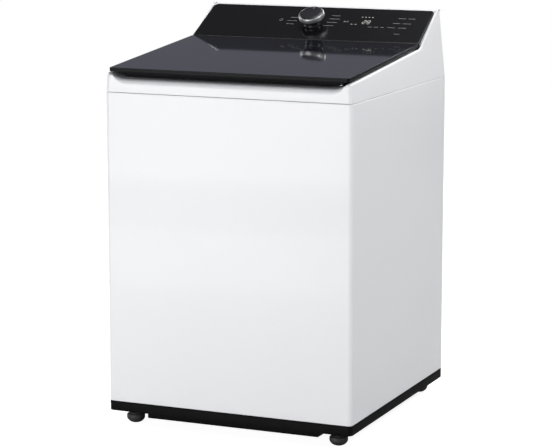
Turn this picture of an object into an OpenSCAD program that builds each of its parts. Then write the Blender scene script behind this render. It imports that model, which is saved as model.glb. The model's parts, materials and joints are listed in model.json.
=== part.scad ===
// Top load washing machine: cabinet, lid, console, suspended tub, spin basket, direct drive, pump and feet.
// Millimetres, +Z up. The origin is on the floor under the middle of the machine; the front faces -Y.

/* [Cabinet] */
// Width over the side panels
body_w = 686; // [676:1:700]
// Depth of the cabinet, front face to rear face
body_d = 695; // [690:1:710]
// Depth overall, with the drain outlet behind the cabinet
overall_d = 721; // [716:1:736]
// Height of the seam between the cabinet and the top cover
seam_z = 881; // [878:1:890]
// Height of the lower edge of the painted panels
panel_z = 64; // [60:1:66]
// Radius of the vertical corners
corner_r = 12; // [8:1:16]

/* [Lid and console] */
// Width of the lid
lid_w = 663; // [655:1:664]
// Rise of the lid and deck per unit of depth
deck_slope = 0.0822; // [0.07:0.001:0.09]
// Diameter of the selector knob over its ring
knob_d = 72; // [60:1:76]

/* [Tub and basket] */
// Outer radius of the basket
basket_r = 283; // [270:1:285]
// Inner radius of the outer tub
tub_r = 299; // [296:1:303]

/* [Feet] */
// Distance of each foot's axis from the side face
foot_inset = 54; // [50:1:60]
// Diameter of a foot pad
foot_d = 48; // [40:1:50]

/* [Hidden] */
$fn = 64;
front_y = -overall_d / 2;
rear_y = front_y + body_d;
mid_y = (front_y + rear_y) / 2;
half_w = body_w / 2;
sheet_t = 1.2;
plastic_t = 3;
gap = 1.5;

// Top cover side profile, as depth from the front face and height
lip_z = seam_z + 49;
kink = [503, seam_z + 92];
crest = [642, seam_z + 181];
top_z = seam_z + 185;
back_crest = [668, seam_z + 169];
draft = 11;
deck_r = 14;
deck_front_z = seam_z + 35;
recess_end = 510;
lid_top_z = seam_z + 63;
lid_rear = 503;
glass_t = 4;
frame_t = 22;
hinge = [494, seam_z + 93];
hinge_x = 270;
pin_r = 3;
console_foot = [506, seam_z + 106];
floor_z = seam_z + 12;

// Opening under the lid
mouth = [90, 478];
mouth_half_w = 235;
mouth_r = 70;
collar_z = seam_z - 9;

// Tub and drive heights
tub_floor_z = 200;
seal_top_z = 204;
bearing_z = [140, 182];
bearing_h = 13;
bearing_r = 27.5;
tub_top_z = 838;
tub_wall = 3.5;
basket_floor_z = 246;
basket_top_z = 812;
ring_h = 47;
shaft_r = 10;
spin_r = 15;
rotor_z = 96;
stator_z = 112;
coupler_neck_r = 21;
plate_z = 254;
sump_z = 184;
pump_z = 88;
pump_top = 142;
rotor_r = 150;
stator_r = 135;
rod_at = 288;
rod_r = 4;
lug_z = 390;
rod_foot_z = 300;
rod_head_z = 862;
wall_t = 1.2;
spring_turns = 6;

// Feet
foot_pad_h = 26;
foot_front_y = front_y + 50;
foot_rear_y = rear_y - 42;
stem_r = 5;

// Rear panel
screw_r = 2.2;
access_z = 250;
access_r = 110;
access_dish_r = 70;
rib_x = [-150, 0, 150];
rib_z = [420, 790];

// Drain and rear fittings
pump_at = [140, 190];
outlet_at = [262, 152];
inlet_z = 934;
inlet_x = [70, 130];
nozzle_z = 914;
nozzle_s = [110, 64];
inlet_thread_r = 13.35;
gland_at = [-282, 806];

// Drawer
drawer_x = [-160, 0];
drawer_z = [886, 936];
drawer_d = 150;

// ---------------------------------------------------------------- helpers

function deck_z(s) = deck_front_z + deck_slope * (s - deck_r);
function lid_z(s) = lid_top_z + deck_slope * s;
function rear_s(z) = body_d - (z - seam_z) * (body_d - back_crest[0]) / (back_crest[1] - seam_z);
function draft_at(z) = draft * (z - seam_z) / (crest[1] - seam_z);

// Rectangle with round corners, w by d, centred
module round_rect(w, d, r) {
    square([w - 2 * r, d], center = true);
    square([w, d - 2 * r], center = true);
    for (x = [-1, 1], y = [-1, 1])
        translate([x * (w / 2 - r), y * (d / 2 - r)]) circle(r);
}

// The cabinet's outline seen from above, drawn in by inset
module plan(inset = 0) {
    translate([0, mid_y])
        round_rect(body_w - 2 * inset, body_d - 2 * inset, max(corner_r - inset, 2));
}

// Ring of the plan between two insets
module plan_ring(outer, inner, z, h) {
    translate([0, 0, z]) linear_extrude(h) difference() {
        plan(outer);
        plan(inner);
    }
}

// Extrudes a profile of [depth from the front face, height] points across the width x0 to x1
module across(x0, x1, points) {
    translate([x0, front_y, 0]) rotate([90, 0, 90]) linear_extrude(x1 - x0) polygon(points);
}

module block(x, y, z) {
    translate([x[0], y[0], z[0]]) cube([x[1] - x[0], y[1] - y[0], z[1] - z[0]]);
}

module tube(r_out, r_in, z, h) {
    translate([0, 0, z]) difference() {
        cylinder(r = r_out, h = h);
        translate([0, 0, -1]) cylinder(r = r_in, h = h + 2);
    }
}

module at_tub() {
    translate([0, mid_y, 0]) children();
}

module at_rods() {
    at_tub() for (x = [-1, 1], y = [-1, 1]) translate([x * rod_at, y * rod_at, 0]) children();
}

module at_feet() {
    for (x = [-1, 1], y = [foot_front_y, foot_rear_y])
        translate([x * (half_w - foot_inset), y, 0]) children();
}

// Places children on the console face: local Z is the face's normal, local Y runs up the face
module on_console(along) {
    slope = atan2(crest[1] - console_foot[1], crest[0] - console_foot[0]);
    translate([0, front_y + console_foot[0] + along * cos(slope), console_foot[1] + along * sin(slope)])
        rotate([slope, 0, 0]) children();
}
console_len = norm(crest - console_foot);
knob_along = console_len * 0.493;

// ---------------------------------------------------------------- pipes

// One straight length of round pipe, solid when r_in is zero
module straight(length, r_out, r_in) {
    linear_extrude(length) difference() {
        circle(r_out);
        if (r_in > 0) circle(r_in);
    }
}

// Quarter bend from +Z towards +X
module quarter(bend_r, r_out, r_in) {
    translate([bend_r, 0, 0]) rotate([90, 0, 180])
        rotate_extrude(angle = 90) translate([bend_r, 0]) difference() {
        circle(r_out);
        if (r_in > 0) circle(r_in);
    }
}

// Follows a path of steps, [length] for a straight or [bend radius, roll] for a quarter bend
module pipe(path, r_out, r_in = 0, i = 0) {
    if (i < len(path)) {
        step = path[i];
        if (len(step) == 1) {
            straight(step[0], r_out, r_in);
            translate([0, 0, step[0]]) pipe(path, r_out, r_in, i + 1);
        } else {
            rotate([0, 0, step[1]]) {
                quarter(step[0], r_out, r_in);
                translate([step[0], 0, step[0]]) rotate([0, 90, 0]) pipe(path, r_out, r_in, i + 1);
            }
        }
    }
}

// ---------------------------------------------------------------- cabinet

module cabinet_shell() color("white") {
    flange = 26;
    difference() {
        union() {
            plan_ring(0, sheet_t, panel_z, seam_z - panel_z);
            plan_ring(0, 16, seam_z - sheet_t, sheet_t);
            plan_ring(0, 14, panel_z, sheet_t);
        }
        block([-half_w + flange, half_w - flange], [rear_y - 30, rear_y + 1], [panel_z - 1, seam_z + 1]);
    }
}

module rear_panel() color("gainsboro") {
    reach = half_w - corner_r - 1;
    face = rear_y - sheet_t;
    difference() {
        union() {
            block([-reach, reach], [face - sheet_t, face], [panel_z + 2, seam_z - 2]);
            for (x = rib_x)
                block([x - 22, x + 22], [face - 0.5, face + 3], rib_z);
        }
        // ribs are pressed out of the sheet, so they are hollow behind
        for (x = rib_x)
            block([x - 20.8, x + 20.8], [face - 3, face + 1.8], [rib_z[0] + sheet_t, rib_z[1] - sheet_t]);
        translate([0, rear_y, access_z]) rotate([90, 0, 0]) cylinder(r = access_r - 15, h = 20);
        translate([outlet_at[0], rear_y, outlet_at[1]]) rotate([90, 0, 0]) cylinder(r = 17, h = 20);
        translate([gland_at[0], rear_y, gland_at[1]]) rotate([90, 0, 0]) cylinder(r = 11, h = 20);
        for (x = [-240, -200, 200, 240], z = [700 : 14 : 770])
            block([x - 14, x + 14], [face - 5, face + 5], [z, z + 4]);
        for (x = [-1, 1], z = [100, 340, 600, 850])
            translate([x * (half_w - 20), rear_y, z]) rotate([90, 0, 0]) cylinder(r = screw_r, h = 20);
    }
}

module rear_access_cover() color("silver") {
    face = rear_y - sheet_t;
    difference() {
        union() {
            translate([0, face + sheet_t, access_z]) rotate([90, 0, 0]) cylinder(r = access_r, h = sheet_t);
            translate([0, face + 4, access_z]) rotate([90, 0, 0]) cylinder(r = access_dish_r, h = 4);
        }
        translate([0, face + 4 - sheet_t, access_z])
            rotate([90, 0, 0]) cylinder(r = access_dish_r - sheet_t, h = 5);
        for (a = [45 : 90 : 315])
            translate([(access_r - 8) * cos(a), face + 3, access_z + (access_r - 8) * sin(a)])
                rotate([90, 0, 0]) cylinder(r = screw_r, h = 6);
    }
}

module base_frame() color("black") {
    skirt_z = 38;
    deep_z = 27;
    difference() {
        union() {
            plan_ring(0.4, 4, skirt_z, panel_z - skirt_z);
            plan_ring(2, 34, panel_z - 8, 8 - 0.4);
            // the front skirt drops lower between the feet
            translate([0, front_y + 4, 0]) rotate([90, 0, 0]) linear_extrude(3.6)
                polygon([
                    [-half_w + 112, skirt_z + 2], [-half_w + 112, deep_z],
                    [half_w - 90, deep_z], [half_w - 76, skirt_z + 2]
                ]);
            at_feet() translate([0, 0, skirt_z]) cylinder(r = 17, h = panel_z - skirt_z - 0.4);
            // corner decks that carry the feet
            for (x = [-1, 1], y = [[front_y + 3, front_y + 86], [rear_y - 86, rear_y - 3]])
                block([x * (half_w - 46.5) - 43.5, x * (half_w - 46.5) + 43.5], y, [panel_z - 8, panel_z - 0.4]);
            // platform for the drain pump
            block([pump_at[0] - 52, half_w - 3], [pump_at[1] - 48, rear_y - 3], [panel_z - 8, panel_z - 0.4]);
        }
        at_feet() translate([0, 0, skirt_z - 1]) cylinder(r = stem_r + 0.05, h = 40);
    }
}

// ---------------------------------------------------------------- feet

module foot() {
    rotate_extrude() polygon([
        [0, 0], [12, 0], [17, 2], [21, 6], [foot_d / 2, 12], [foot_d / 2, 20],
        [foot_d / 2 - 2, 24], [foot_d / 2 - 6, foot_pad_h], [stem_r, foot_pad_h],
        [stem_r, panel_z + 22], [stem_r - 1, panel_z + 23], [0, panel_z + 23]
    ]);
}

module foot_front_left() color("dimgray") translate([-half_w + foot_inset, foot_front_y, 0]) foot();

module foot_front_right() color("dimgray") translate([half_w - foot_inset, foot_front_y, 0]) foot();

module foot_rear_left() color("dimgray") translate([-half_w + foot_inset, foot_rear_y, 0]) foot();

module foot_rear_right() color("dimgray") translate([half_w - foot_inset, foot_rear_y, 0]) foot();

module foot_lock_nuts() color("silver") {
    at_feet() translate([0, 0, 30]) difference() {
        cylinder(r = 11, h = 7.6, $fn = 6);
        translate([0, 0, -1]) cylinder(r = stem_r + 0.05, h = 12);
    }
}

// ---------------------------------------------------------------- top cover

// Height profile of the cheeks, console and rear, drawn in by i
function cheek_profile(low, i = 0) = [
    [i, low], [i, lip_z - i - 3], [i + 3, lip_z - i], [kink[0] + i / 3, kink[1] - i],
    [crest[0] - i / 3, crest[1] - i], [crest[0] + 6, top_z - i], [crest[0] + 14, top_z - i],
    [back_crest[0] - 5 - i, back_crest[1] + 10 - i], [back_crest[0] - i, back_crest[1] - i],
    [body_d - i, seam_z + gap], [body_d - i, low]
];

// The cover's outside: profile across the width, drafted sides and round corners
module cover_solid(low, i = 0) {
    top_i = draft * (top_z - seam_z) / (crest[1] - seam_z) + i;
    intersection() {
        across(-half_w, half_w, cheek_profile(low, i));
        translate([0, rear_y, 0]) rotate([90, 0, 0]) linear_extrude(body_d) polygon([
            [-half_w + i, low], [half_w - i, low], [half_w - i, seam_z],
            [half_w - top_i, top_z], [-half_w + top_i, top_z], [-half_w + i, seam_z]
        ]);
        translate([0, 0, low]) linear_extrude(top_z - low) plan(i);
    }
}

// Outline of the opening under the lid
module mouth_outline(grow = 0) {
    s = (mouth[0] + mouth[1]) / 2;
    translate([0, front_y + s])
        round_rect(2 * (mouth_half_w + grow), mouth[1] - mouth[0] + 2 * grow, mouth_r + grow);
}

module top_cover() color("white") {
    arc = [for (a = [0 : 15 : 90]) [deck_r - deck_r * cos(a), deck_front_z - deck_r + deck_r * sin(a)]];
    recess_half = lid_w / 2 + 1;
    inner_half = half_w - draft - 10;
    difference() {
        union() {
            difference() {
                cover_solid(seam_z + gap);
                // lid recess with a rounded front edge
                across(-recess_half, recess_half, concat(
                    [[-5, deck_front_z - deck_r]], arc,
                    [[recess_end, deck_z(recess_end)], [recess_end, top_z + 10], [-5, top_z + 10]]
                ));
                // hollow under the deck
                across(-inner_half, inner_half, [
                    [plastic_t, seam_z], [plastic_t, deck_front_z - deck_r - 2],
                    [deck_r, deck_front_z - plastic_t],
                    [recess_end - 4, deck_z(recess_end - 4) - plastic_t], [recess_end - 4, seam_z]
                ]);
                // hollow of the console, open at the sloping face for the fascia
                across(-inner_half, inner_half, [
                    [recess_end - 4, seam_z], [recess_end - 4, deck_z(recess_end - 4) - plastic_t],
                    [recess_end + 3, deck_z(recess_end) - plastic_t], [recess_end + 3, crest[1] + 20],
                    [crest[0] + 1, crest[1] + 20], [crest[0] + 2, top_z - plastic_t],
                    [crest[0] + 13, top_z - plastic_t], [rear_s(back_crest[1]) - 4, back_crest[1] - 4],
                    [body_d - 4, seam_z + gap], [body_d - 4, seam_z]
                ]);
                // seat of the fascia between the cheeks
                across(-recess_half, recess_half, [
                    [recess_end - 1, console_foot[1] - 14], [crest[0] - 4, crest[1] - 8],
                    [crest[0] + 2, crest[1] - 4],
                    [crest[0] + 2, top_z + 10], [recess_end - 1, top_z + 10]
                ]);
            }
            // ramps at the front corners, where the recess meets the cheeks
            for (x = [-1, 1])
                translate([0, front_y + 12, 0]) rotate([90, 0, 0]) linear_extrude(11.5) polygon([
                    [x * (half_w - 36), deck_front_z - 12], [x * (half_w - 36), deck_front_z - 1],
                    [x * (half_w - 6), lip_z - 6], [x * (half_w - 6), deck_front_z - 12]
                ]);
            // collar round the opening
            difference() {
                translate([0, 0, collar_z])
                    linear_extrude(deck_z(mouth[1]) - collar_z) mouth_outline(plastic_t);
                across(-half_w, half_w, [
                    [0, deck_z(0) - 0.4], [recess_end + 5, deck_z(recess_end + 5) - 0.4],
                    [recess_end + 5, top_z + 10], [0, top_z + 10]
                ]);
            }
            // locating lip inside the cabinet seam, and the floor under the console
            plan_ring(4, 8, seam_z, gap + 3);
            difference() {
                block([-half_w + 5, half_w - 5], [front_y + mouth[1] + 1, rear_y - 5],
                    [floor_z, floor_z + plastic_t]);
                // room for the dispenser, and a hole for the wiring
                block([drawer_x[0] - 7, drawer_x[1] + 7], [front_y, front_y + mouth[1] + drawer_d + 16],
                    [floor_z - 1, floor_z + 5]);
                translate([318, 312, floor_z - 1]) cylinder(r = 8, h = 6);
            }
        }
        translate([0, 0, collar_z - 1]) linear_extrude(200) mouth_outline(0);
        // mouth of the drawer through the collar
        block([drawer_x[0] - 4, drawer_x[1] + 4], [front_y + mouth[1] - 8, front_y + mouth[1] + 12],
            [drawer_z[0] - 4, drawer_z[1] + 4]);
        // slot for the lid's striker
        block([283, 293], [front_y + 44, front_y + 84], [seam_z + 4, deck_z(90) + 4]);
        // window for the rear cover
        across(-306, 306, [
            [rear_s(seam_z + 7) - 2.2, seam_z + 7], [rear_s(seam_z + 7) + 2, seam_z + 7],
            [rear_s(seam_z + 156) + 2, seam_z + 156], [rear_s(seam_z + 156) - 2.2, seam_z + 156]
        ]);
        across(-296, 296, [
            [rear_s(seam_z + 20) - 12, seam_z + 20], [rear_s(seam_z + 20) + 2, seam_z + 20],
            [rear_s(seam_z + 146) + 2, seam_z + 146], [rear_s(seam_z + 146) - 12, seam_z + 146]
        ]);
    }
}

// ---------------------------------------------------------------- console

module console_fascia() color("black") {
    t = 4;
    half_foot = lid_w / 2;
    half_crest = half_w - draft - 5;
    slope = atan2(crest[1] - console_foot[1], crest[0] - console_foot[0]);
    difference() {
        intersection() {
            across(-half_foot, half_foot, [
                console_foot, crest, crest + [0, 2], [crest[0] + 1.5, crest[1] + 2],
                [crest[0] + 1.5, crest[1] - 2.5], [crest[0] - 2, crest[1] - t - 1],
                [console_foot[0] + 7, console_foot[1] - t + 1.5], [console_foot[0] + 7, console_foot[1] - 9.5],
                [console_foot[0] + 5, console_foot[1] - 9.5], [console_foot[0] + 4, console_foot[1] - 6]
            ]);
            translate([0, rear_y, 0]) rotate([90, 0, 0]) linear_extrude(body_d) polygon([
                [-half_foot, console_foot[1] - 20], [half_foot, console_foot[1] - 20],
                [half_foot, console_foot[1] - 10], [half_crest, crest[1] - 5], [half_crest - 8, crest[1] + 5],
                [-half_crest + 8, crest[1] + 5], [-half_crest, crest[1] - 5], [-half_foot, console_foot[1] - 10]
            ]);
        }
        on_console(knob_along) translate([0, 0, -20]) cylinder(r = 6, h = 40);
    }
}

module console_rear_cover() color("gainsboro") {
    z0 = seam_z + 7.5;
    z1 = seam_z + 155.5;
    difference() {
        across(-305.5, 305.5, [
            [rear_s(z0) - 2, z0], [rear_s(z0) - 0.5, z0], [rear_s(z1) - 0.5, z1], [rear_s(z1) - 2, z1]
        ]);
        for (x = inlet_x)
            translate([x, rear_y + 5, inlet_z]) rotate([90, 0, 0]) cylinder(r = 15, h = 40);
        for (x = [-240, -228, -216, -204, -192])
            block([x - 2, x + 2], [rear_y - 40, rear_y + 5], [seam_z + 60, seam_z + 110]);
    }
}

module display_board() color("darkgreen") {
    on_console(knob_along) difference() {
        union() {
            translate([-150, -38, -13]) cube([440, 74, 1.6]);
            translate([112, -14, -11.4]) cube([78, 28, 6]);
        }
        translate([0, 0, -20]) cylinder(r = 19, h = 20);
    }
}

module control_box() color("dimgray") {
    block([190, 300], [200, 300], [floor_z + plastic_t, floor_z + plastic_t + 34]);
    for (x = [200 : 14 : 284])
        block([x, x + 4], [215, 285], [floor_z + plastic_t + 34, floor_z + plastic_t + 48]);
}

module knob_encoder() color("silver") {
    on_console(knob_along) union() {
        translate([-14, -14, -22]) cube([28, 28, 14]);
        translate([0, 0, -8.5]) cylinder(r = 4.5, h = 3);
    }
}

module knob_body() color("darkslategray") {
    on_console(knob_along) difference() {
        union() {
            translate([0, 0, 0.6]) rotate_extrude() polygon([
                [0, 0], [30, 0], [30.5, 4], [29.5, 17], [32.2, 17], [32.2, 31], [31, 32.5], [0, 33.4]
            ]);
            translate([0, 0, -5]) cylinder(r = 3, h = 8);
        }
        translate([0, 0, 0]) tube(27, 9, 0, 14);
    }
}

module knob_ring() color("silver") {
    on_console(knob_along) translate([0, 0, 0.6]) rotate_extrude() polygon([
        [32.3, 17.1], [knob_d / 2 - 3, 17.1], [knob_d / 2 - 0.5, 19.5], [knob_d / 2, 22],
        [knob_d / 2 - 1, 27], [knob_d / 2 - 2.6, 31], [32.3, 31.6]
    ]);
}

// ---------------------------------------------------------------- lid

module lid_glass() color("black") {
    half = lid_w / 2;
    r = 6;
    intersection() {
        across(-half, half, [
            [0, lid_z(0) - glass_t], [0, lid_z(0)], [lid_rear, lid_z(lid_rear)],
            [lid_rear, lid_z(lid_rear) - glass_t]
        ]);
        translate([0, front_y + lid_rear / 2, seam_z]) linear_extrude(150) round_rect(lid_w, lid_rear, r);
    }
}

module lid_frame() color("black") {
    half = lid_w / 2;
    under = glass_t + 0.2;
    low = frame_t + glass_t;
    difference() {
        intersection() {
            across(-half, half, [
                [0, lid_z(0) - 11], [0, lid_z(0) - under], [lid_rear, lid_z(lid_rear) - under],
                [lid_rear, lid_z(lid_rear) - low], [30, lid_z(30) - low], [18, lid_z(18) - low + 3],
                [13, lid_z(13) - low + 10], [8, lid_z(8) - 12.5]
            ]);
            translate([0, front_y + lid_rear / 2, seam_z]) linear_extrude(150) round_rect(lid_w, lid_rear, 6);
            // the sides pull in below the rim, clear of the front corner ramps
            translate([0, rear_y, 0]) rotate([90, 0, 0]) linear_extrude(body_d) polygon([
                [-half, lid_z(lid_rear)], [half, lid_z(lid_rear)], [half, lid_z(0) - 11],
                [half - 1, lid_z(0) - 13], [half - 22, seam_z + 30], [-half + 22, seam_z + 30],
                [-half + 1, lid_z(0) - 13], [-half, lid_z(0) - 11]
            ]);
        }
        // window in the middle, and the hollow underside of the rim
        across(-half + 62, half - 62, [
            [72, seam_z], [72, seam_z + 200], [lid_rear - 48, seam_z + 200], [lid_rear - 48, seam_z]
        ]);
        for (x = [-half + 32, half - 48])
            across(x, x + 16, [
                [90, lid_z(90) - low - 1], [90, lid_z(90) - under - 3],
                [lid_rear - 60, lid_z(lid_rear - 60) - under - 3], [lid_rear - 60, lid_z(lid_rear - 60) - low - 1]
            ]);
        // pockets round the hinge knuckles
        for (x = [-hinge_x, hinge_x])
            across(x - 12, x + 12, [
                [hinge[0] - 14, seam_z], [hinge[0] - 14, hinge[1] + 5], [hinge[0] - 8, hinge[1] + 7.8],
                [lid_rear + 1, hinge[1] + 7.8], [lid_rear + 1, seam_z]
            ]);
        across(-hinge_x + 11, -hinge_x + 38, [
            [hinge[0] - 12, seam_z], [hinge[0] - 12, hinge[1] + 7.6], [lid_rear + 1, hinge[1] + 7.6],
            [lid_rear + 1, seam_z]
        ]);
        for (x = [-1, 1])
            translate([x * hinge_x, front_y + hinge[0], hinge[1]]) rotate([0, 90, 0])
                cylinder(r = pin_r, h = 44, center = true);
    }
}

module lid_striker() color("silver") {
    z = deck_z(64);
    top = lid_z(54) - glass_t - frame_t - 0.2;
    difference() {
        union() {
            block([285.5, 290.5], [front_y + 54, front_y + 74], [z - 26, top]);
            block([284.2, 291.8], [front_y + 52, front_y + 76], [top - 2.5, top]);
        }
        block([280, 296], [front_y + 59, front_y + 69], [z - 21, z - 9]);
    }
}

module lid_hinge_pins() color("silver") {
    for (x = [-1, 1])
        translate([x * hinge_x, front_y + hinge[0], hinge[1]]) rotate([0, 90, 0])
            cylinder(r = pin_r, h = 44, center = true);
}

module hinge_brackets() color("dimgray") {
    for (x = [-hinge_x, hinge_x]) difference() {
        union() {
            translate([x - 8, front_y + hinge[0], hinge[1]]) rotate([0, 90, 0]) cylinder(r = 6.5, h = 16);
            across(x - 8, x + 8, [
                [hinge[0] - 6, hinge[1]], [hinge[0] + 6, hinge[1]], [hinge[0] + 9, deck_z(hinge[0] + 9) + 3],
                [hinge[0] + 14, deck_z(hinge[0] + 14) + 2], [hinge[0] + 14, deck_z(hinge[0] + 14)],
                [hinge[0] - 10, deck_z(hinge[0] - 10)], [hinge[0] - 10, deck_z(hinge[0] - 10) + 2],
                [hinge[0] - 6, deck_z(hinge[0] - 6) + 3]
            ]);
        }
        translate([x - 20, front_y + hinge[0], hinge[1]])
            rotate([0, 90, 0]) cylinder(r = pin_r + 0.05, h = 40);
    }
}

module soft_close_damper() color("gray") {
    translate([-hinge_x + 24, front_y + hinge[0], hinge[1]]) rotate([0, 90, 0]) cylinder(r = 6.4, h = 11);
    across(-hinge_x + 24, -hinge_x + 35, [
        [hinge[0] - 4, hinge[1] - 3], [hinge[0] + 4, hinge[1] - 3],
        [hinge[0] + 6, deck_z(hinge[0] + 6)], [hinge[0] - 6, deck_z(hinge[0] - 6)]
    ]);
}

module lid_bumpers() color("gray") {
    for (x = [-1, 1], s = [45, 440])
        translate([x * 305, front_y + s, deck_z(s) + 0.3]) rotate([atan(deck_slope), 0, 0])
            cylinder(r = 6, h = lid_z(s) - glass_t - frame_t - deck_z(s) - 0.45);
}

module lid_lock_housing() color("dimgray") {
    x = [266, 312];
    z = [deck_z(64) - 36, deck_z(42) - plastic_t];
    difference() {
        block(x, [front_y + 42, front_y + 86], z);
        block([283, 293], [front_y + 46, front_y + 82], [z[0] + 3, z[1] + 1]);
        block([268, 308], [front_y + 60.5, front_y + 67.5], [deck_z(64) - 18.5, deck_z(64) - 11.5]);
    }
}

module lid_lock_bolt() color("silver") {
    z = deck_z(64) - 18;
    block([293.5, 307.5], [front_y + 61, front_y + 67], [z, z + 6]);
}

// ---------------------------------------------------------------- dispenser and water

module dispenser_housing() color("white") {
    x = drawer_x;
    y = [front_y + mouth[1] + 3.2, front_y + mouth[1] + drawer_d + 12];
    difference() {
        block([x[0] - 6, x[1] + 6], y, [drawer_z[0] - 12, drawer_z[1] + 8]);
        block([x[0] - 3, x[1] + 3], [y[0] - 1, y[1] - 3], [drawer_z[0] - 3, drawer_z[1] + 5]);
        translate([x[0] / 2, y[1] - 30, 800]) cylinder(r = 14, h = 100);
    }
    for (s = nozzle_s)
        translate([x[1] + 6, front_y + mouth[1] + s, nozzle_z]) rotate([0, 90, 0]) tube(6, 4, 0, 16);
}

module dispenser_drawer() color("whitesmoke") {
    x = drawer_x;
    y0 = front_y + mouth[1];
    y1 = y0 + drawer_d;
    z = drawer_z;
    difference() {
        union() {
            block([x[0] - 2, x[1] + 2], [y0 - 4, y0 + 2], [z[0] - 2, z[1] + 2]);
            block(x, [y0, y1], z);
        }
        block([x[0] + 3, x[0] + 92], [y0 + 5, y1 - 3], [z[0] + 3, z[1] + 10]);
        block([x[0] + 95, x[1] - 3], [y0 + 5, y0 + 74], [z[0] + 3, z[1] + 10]);
        block([x[0] + 95, x[1] - 3], [y0 + 77, y1 - 3], [z[0] + 3, z[1] + 10]);
        // finger grip under the front
        block([x[0] + 45, x[1] - 45], [y0 - 5, y0 - 1.5], [z[0] - 3, z[0] + 14]);
    }
}

module water_valves() color("royalblue") {
    y = front_y + rear_s(inlet_z);
    for (x = inlet_x) difference() {
        union() {
            block([x - 16, x + 16], [y - 58, y - 30], [floor_z + plastic_t, inlet_z + 13]);
            translate([x, y - 44, inlet_z + 12]) cylinder(r = 12, h = 28);
            translate([x, y - 31, inlet_z]) rotate([-90, 0, 0]) cylinder(r = 14.5, h = 28);
            translate([x, y - 8, inlet_z]) rotate([-90, 0, 0]) cylinder(r = inlet_thread_r, h = 28);
            translate([x, y - 76, nozzle_z]) rotate([-90, 0, 0]) cylinder(r = 6, h = 20);
        }
        translate([x, y - 20, inlet_z]) rotate([-90, 0, 0]) cylinder(r = 9, h = 50);
        translate([x, y - 80, nozzle_z]) rotate([-90, 0, 0]) cylinder(r = 4, h = 26);
    }
}

module inlet_hoses() color("gray") {
    y = front_y + rear_s(inlet_z) - 60;
    bend_r = 20;
    for (i = [0, 1]) {
        goal = front_y + mouth[1] + nozzle_s[i];
        run = y - goal - bend_r;
        translate([inlet_x[i], y, nozzle_z]) rotate([90, 0, 0]) rotate([0, 0, 180])
            pipe([[run], [bend_r, 0], [inlet_x[i] - bend_r - 10]], 7.5, 6.05);
    }
}

module pressure_sensor() color("whitesmoke") {
    translate([-225, rear_y - 40, 838]) rotate([-90, 0, 0]) {
        cylinder(r = 22, h = 26);
        translate([14, 0, -16]) cylinder(r = 3, h = 17);
    }
    block([-255, -195], [rear_y - 14.2, rear_y - 2 * sheet_t], [832, 846]);
}

// ---------------------------------------------------------------- suspension

module rod_sockets() color("silver") {
    for (x = [-1, 1], y = [-1, 1]) {
        corner = [x * rod_at, mid_y + y * rod_at];
        difference() {
            union() {
                // corner gusset, and the flange that fixes it to the cabinet side
                translate([0, 0, rod_head_z - 16]) linear_extrude(2.5) polygon([
                    [x * (half_w - 1.4), corner[1] - y * 46], [x * (half_w - 1.4), corner[1] + y * 30],
                    [corner[0] + x * 14, corner[1] + y * 30], [corner[0] - x * 18, corner[1] + y * 20],
                    [corner[0] - x * 18, corner[1] - y * 18], [corner[0] + x * 20, corner[1] - y * 46]
                ]);
                block(x > 0 ? [half_w - 3.9, half_w - 1.4] : [-half_w + 1.4, -half_w + 3.9],
                    [corner[1] - 30, corner[1] + 30], [rod_head_z - 46, rod_head_z - 15]);
                translate([corner[0], corner[1], rod_head_z - 20]) cylinder(r1 = 12, r2 = 15, h = 14);
            }
            translate([corner[0], corner[1], rod_head_z]) sphere(r = 9.3);
            translate([corner[0], corner[1], rod_head_z - 30]) cylinder(r = rod_r + 0.5, h = 40);
        }
    }
}

module suspension_rods() color("silver") {
    at_rods() {
        translate([0, 0, rod_foot_z - 24]) cylinder(r = rod_r, h = rod_head_z - rod_foot_z + 20);
        translate([0, 0, rod_head_z]) sphere(r = 9);
    }
}

module rod_end_caps() color("black") {
    at_rods() difference() {
        union() {
            translate([0, 0, rod_foot_z - 6]) cylinder(r = 19, h = 6);
            translate([0, 0, rod_foot_z - 18]) cylinder(r = 10, h = 13);
            translate([0, 0, rod_foot_z - 1]) cylinder(r = 7.5, h = 9);
        }
        translate([0, 0, rod_foot_z - 30]) cylinder(r = rod_r + 0.05, h = 60);
    }
}

module suspension_springs() color("silver") {
    wire = 2.2;
    coil_r = 13;
    low = rod_foot_z + wire + 0.2;
    pitch = (lug_z - wire - 0.2 - low) / spring_turns;
    at_rods() {
        for (i = [0 : spring_turns])
            translate([0, 0, low + i * pitch]) rotate_extrude() translate([coil_r, 0]) circle(wire);
        // short links stand for the rise of the wire from turn to turn
        for (i = [0 : spring_turns - 1])
            rotate([0, 0, 60 * i]) translate([coil_r, 0, low + i * pitch]) cylinder(r = 1.6, h = pitch);
    }
}

// ---------------------------------------------------------------- tub

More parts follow.
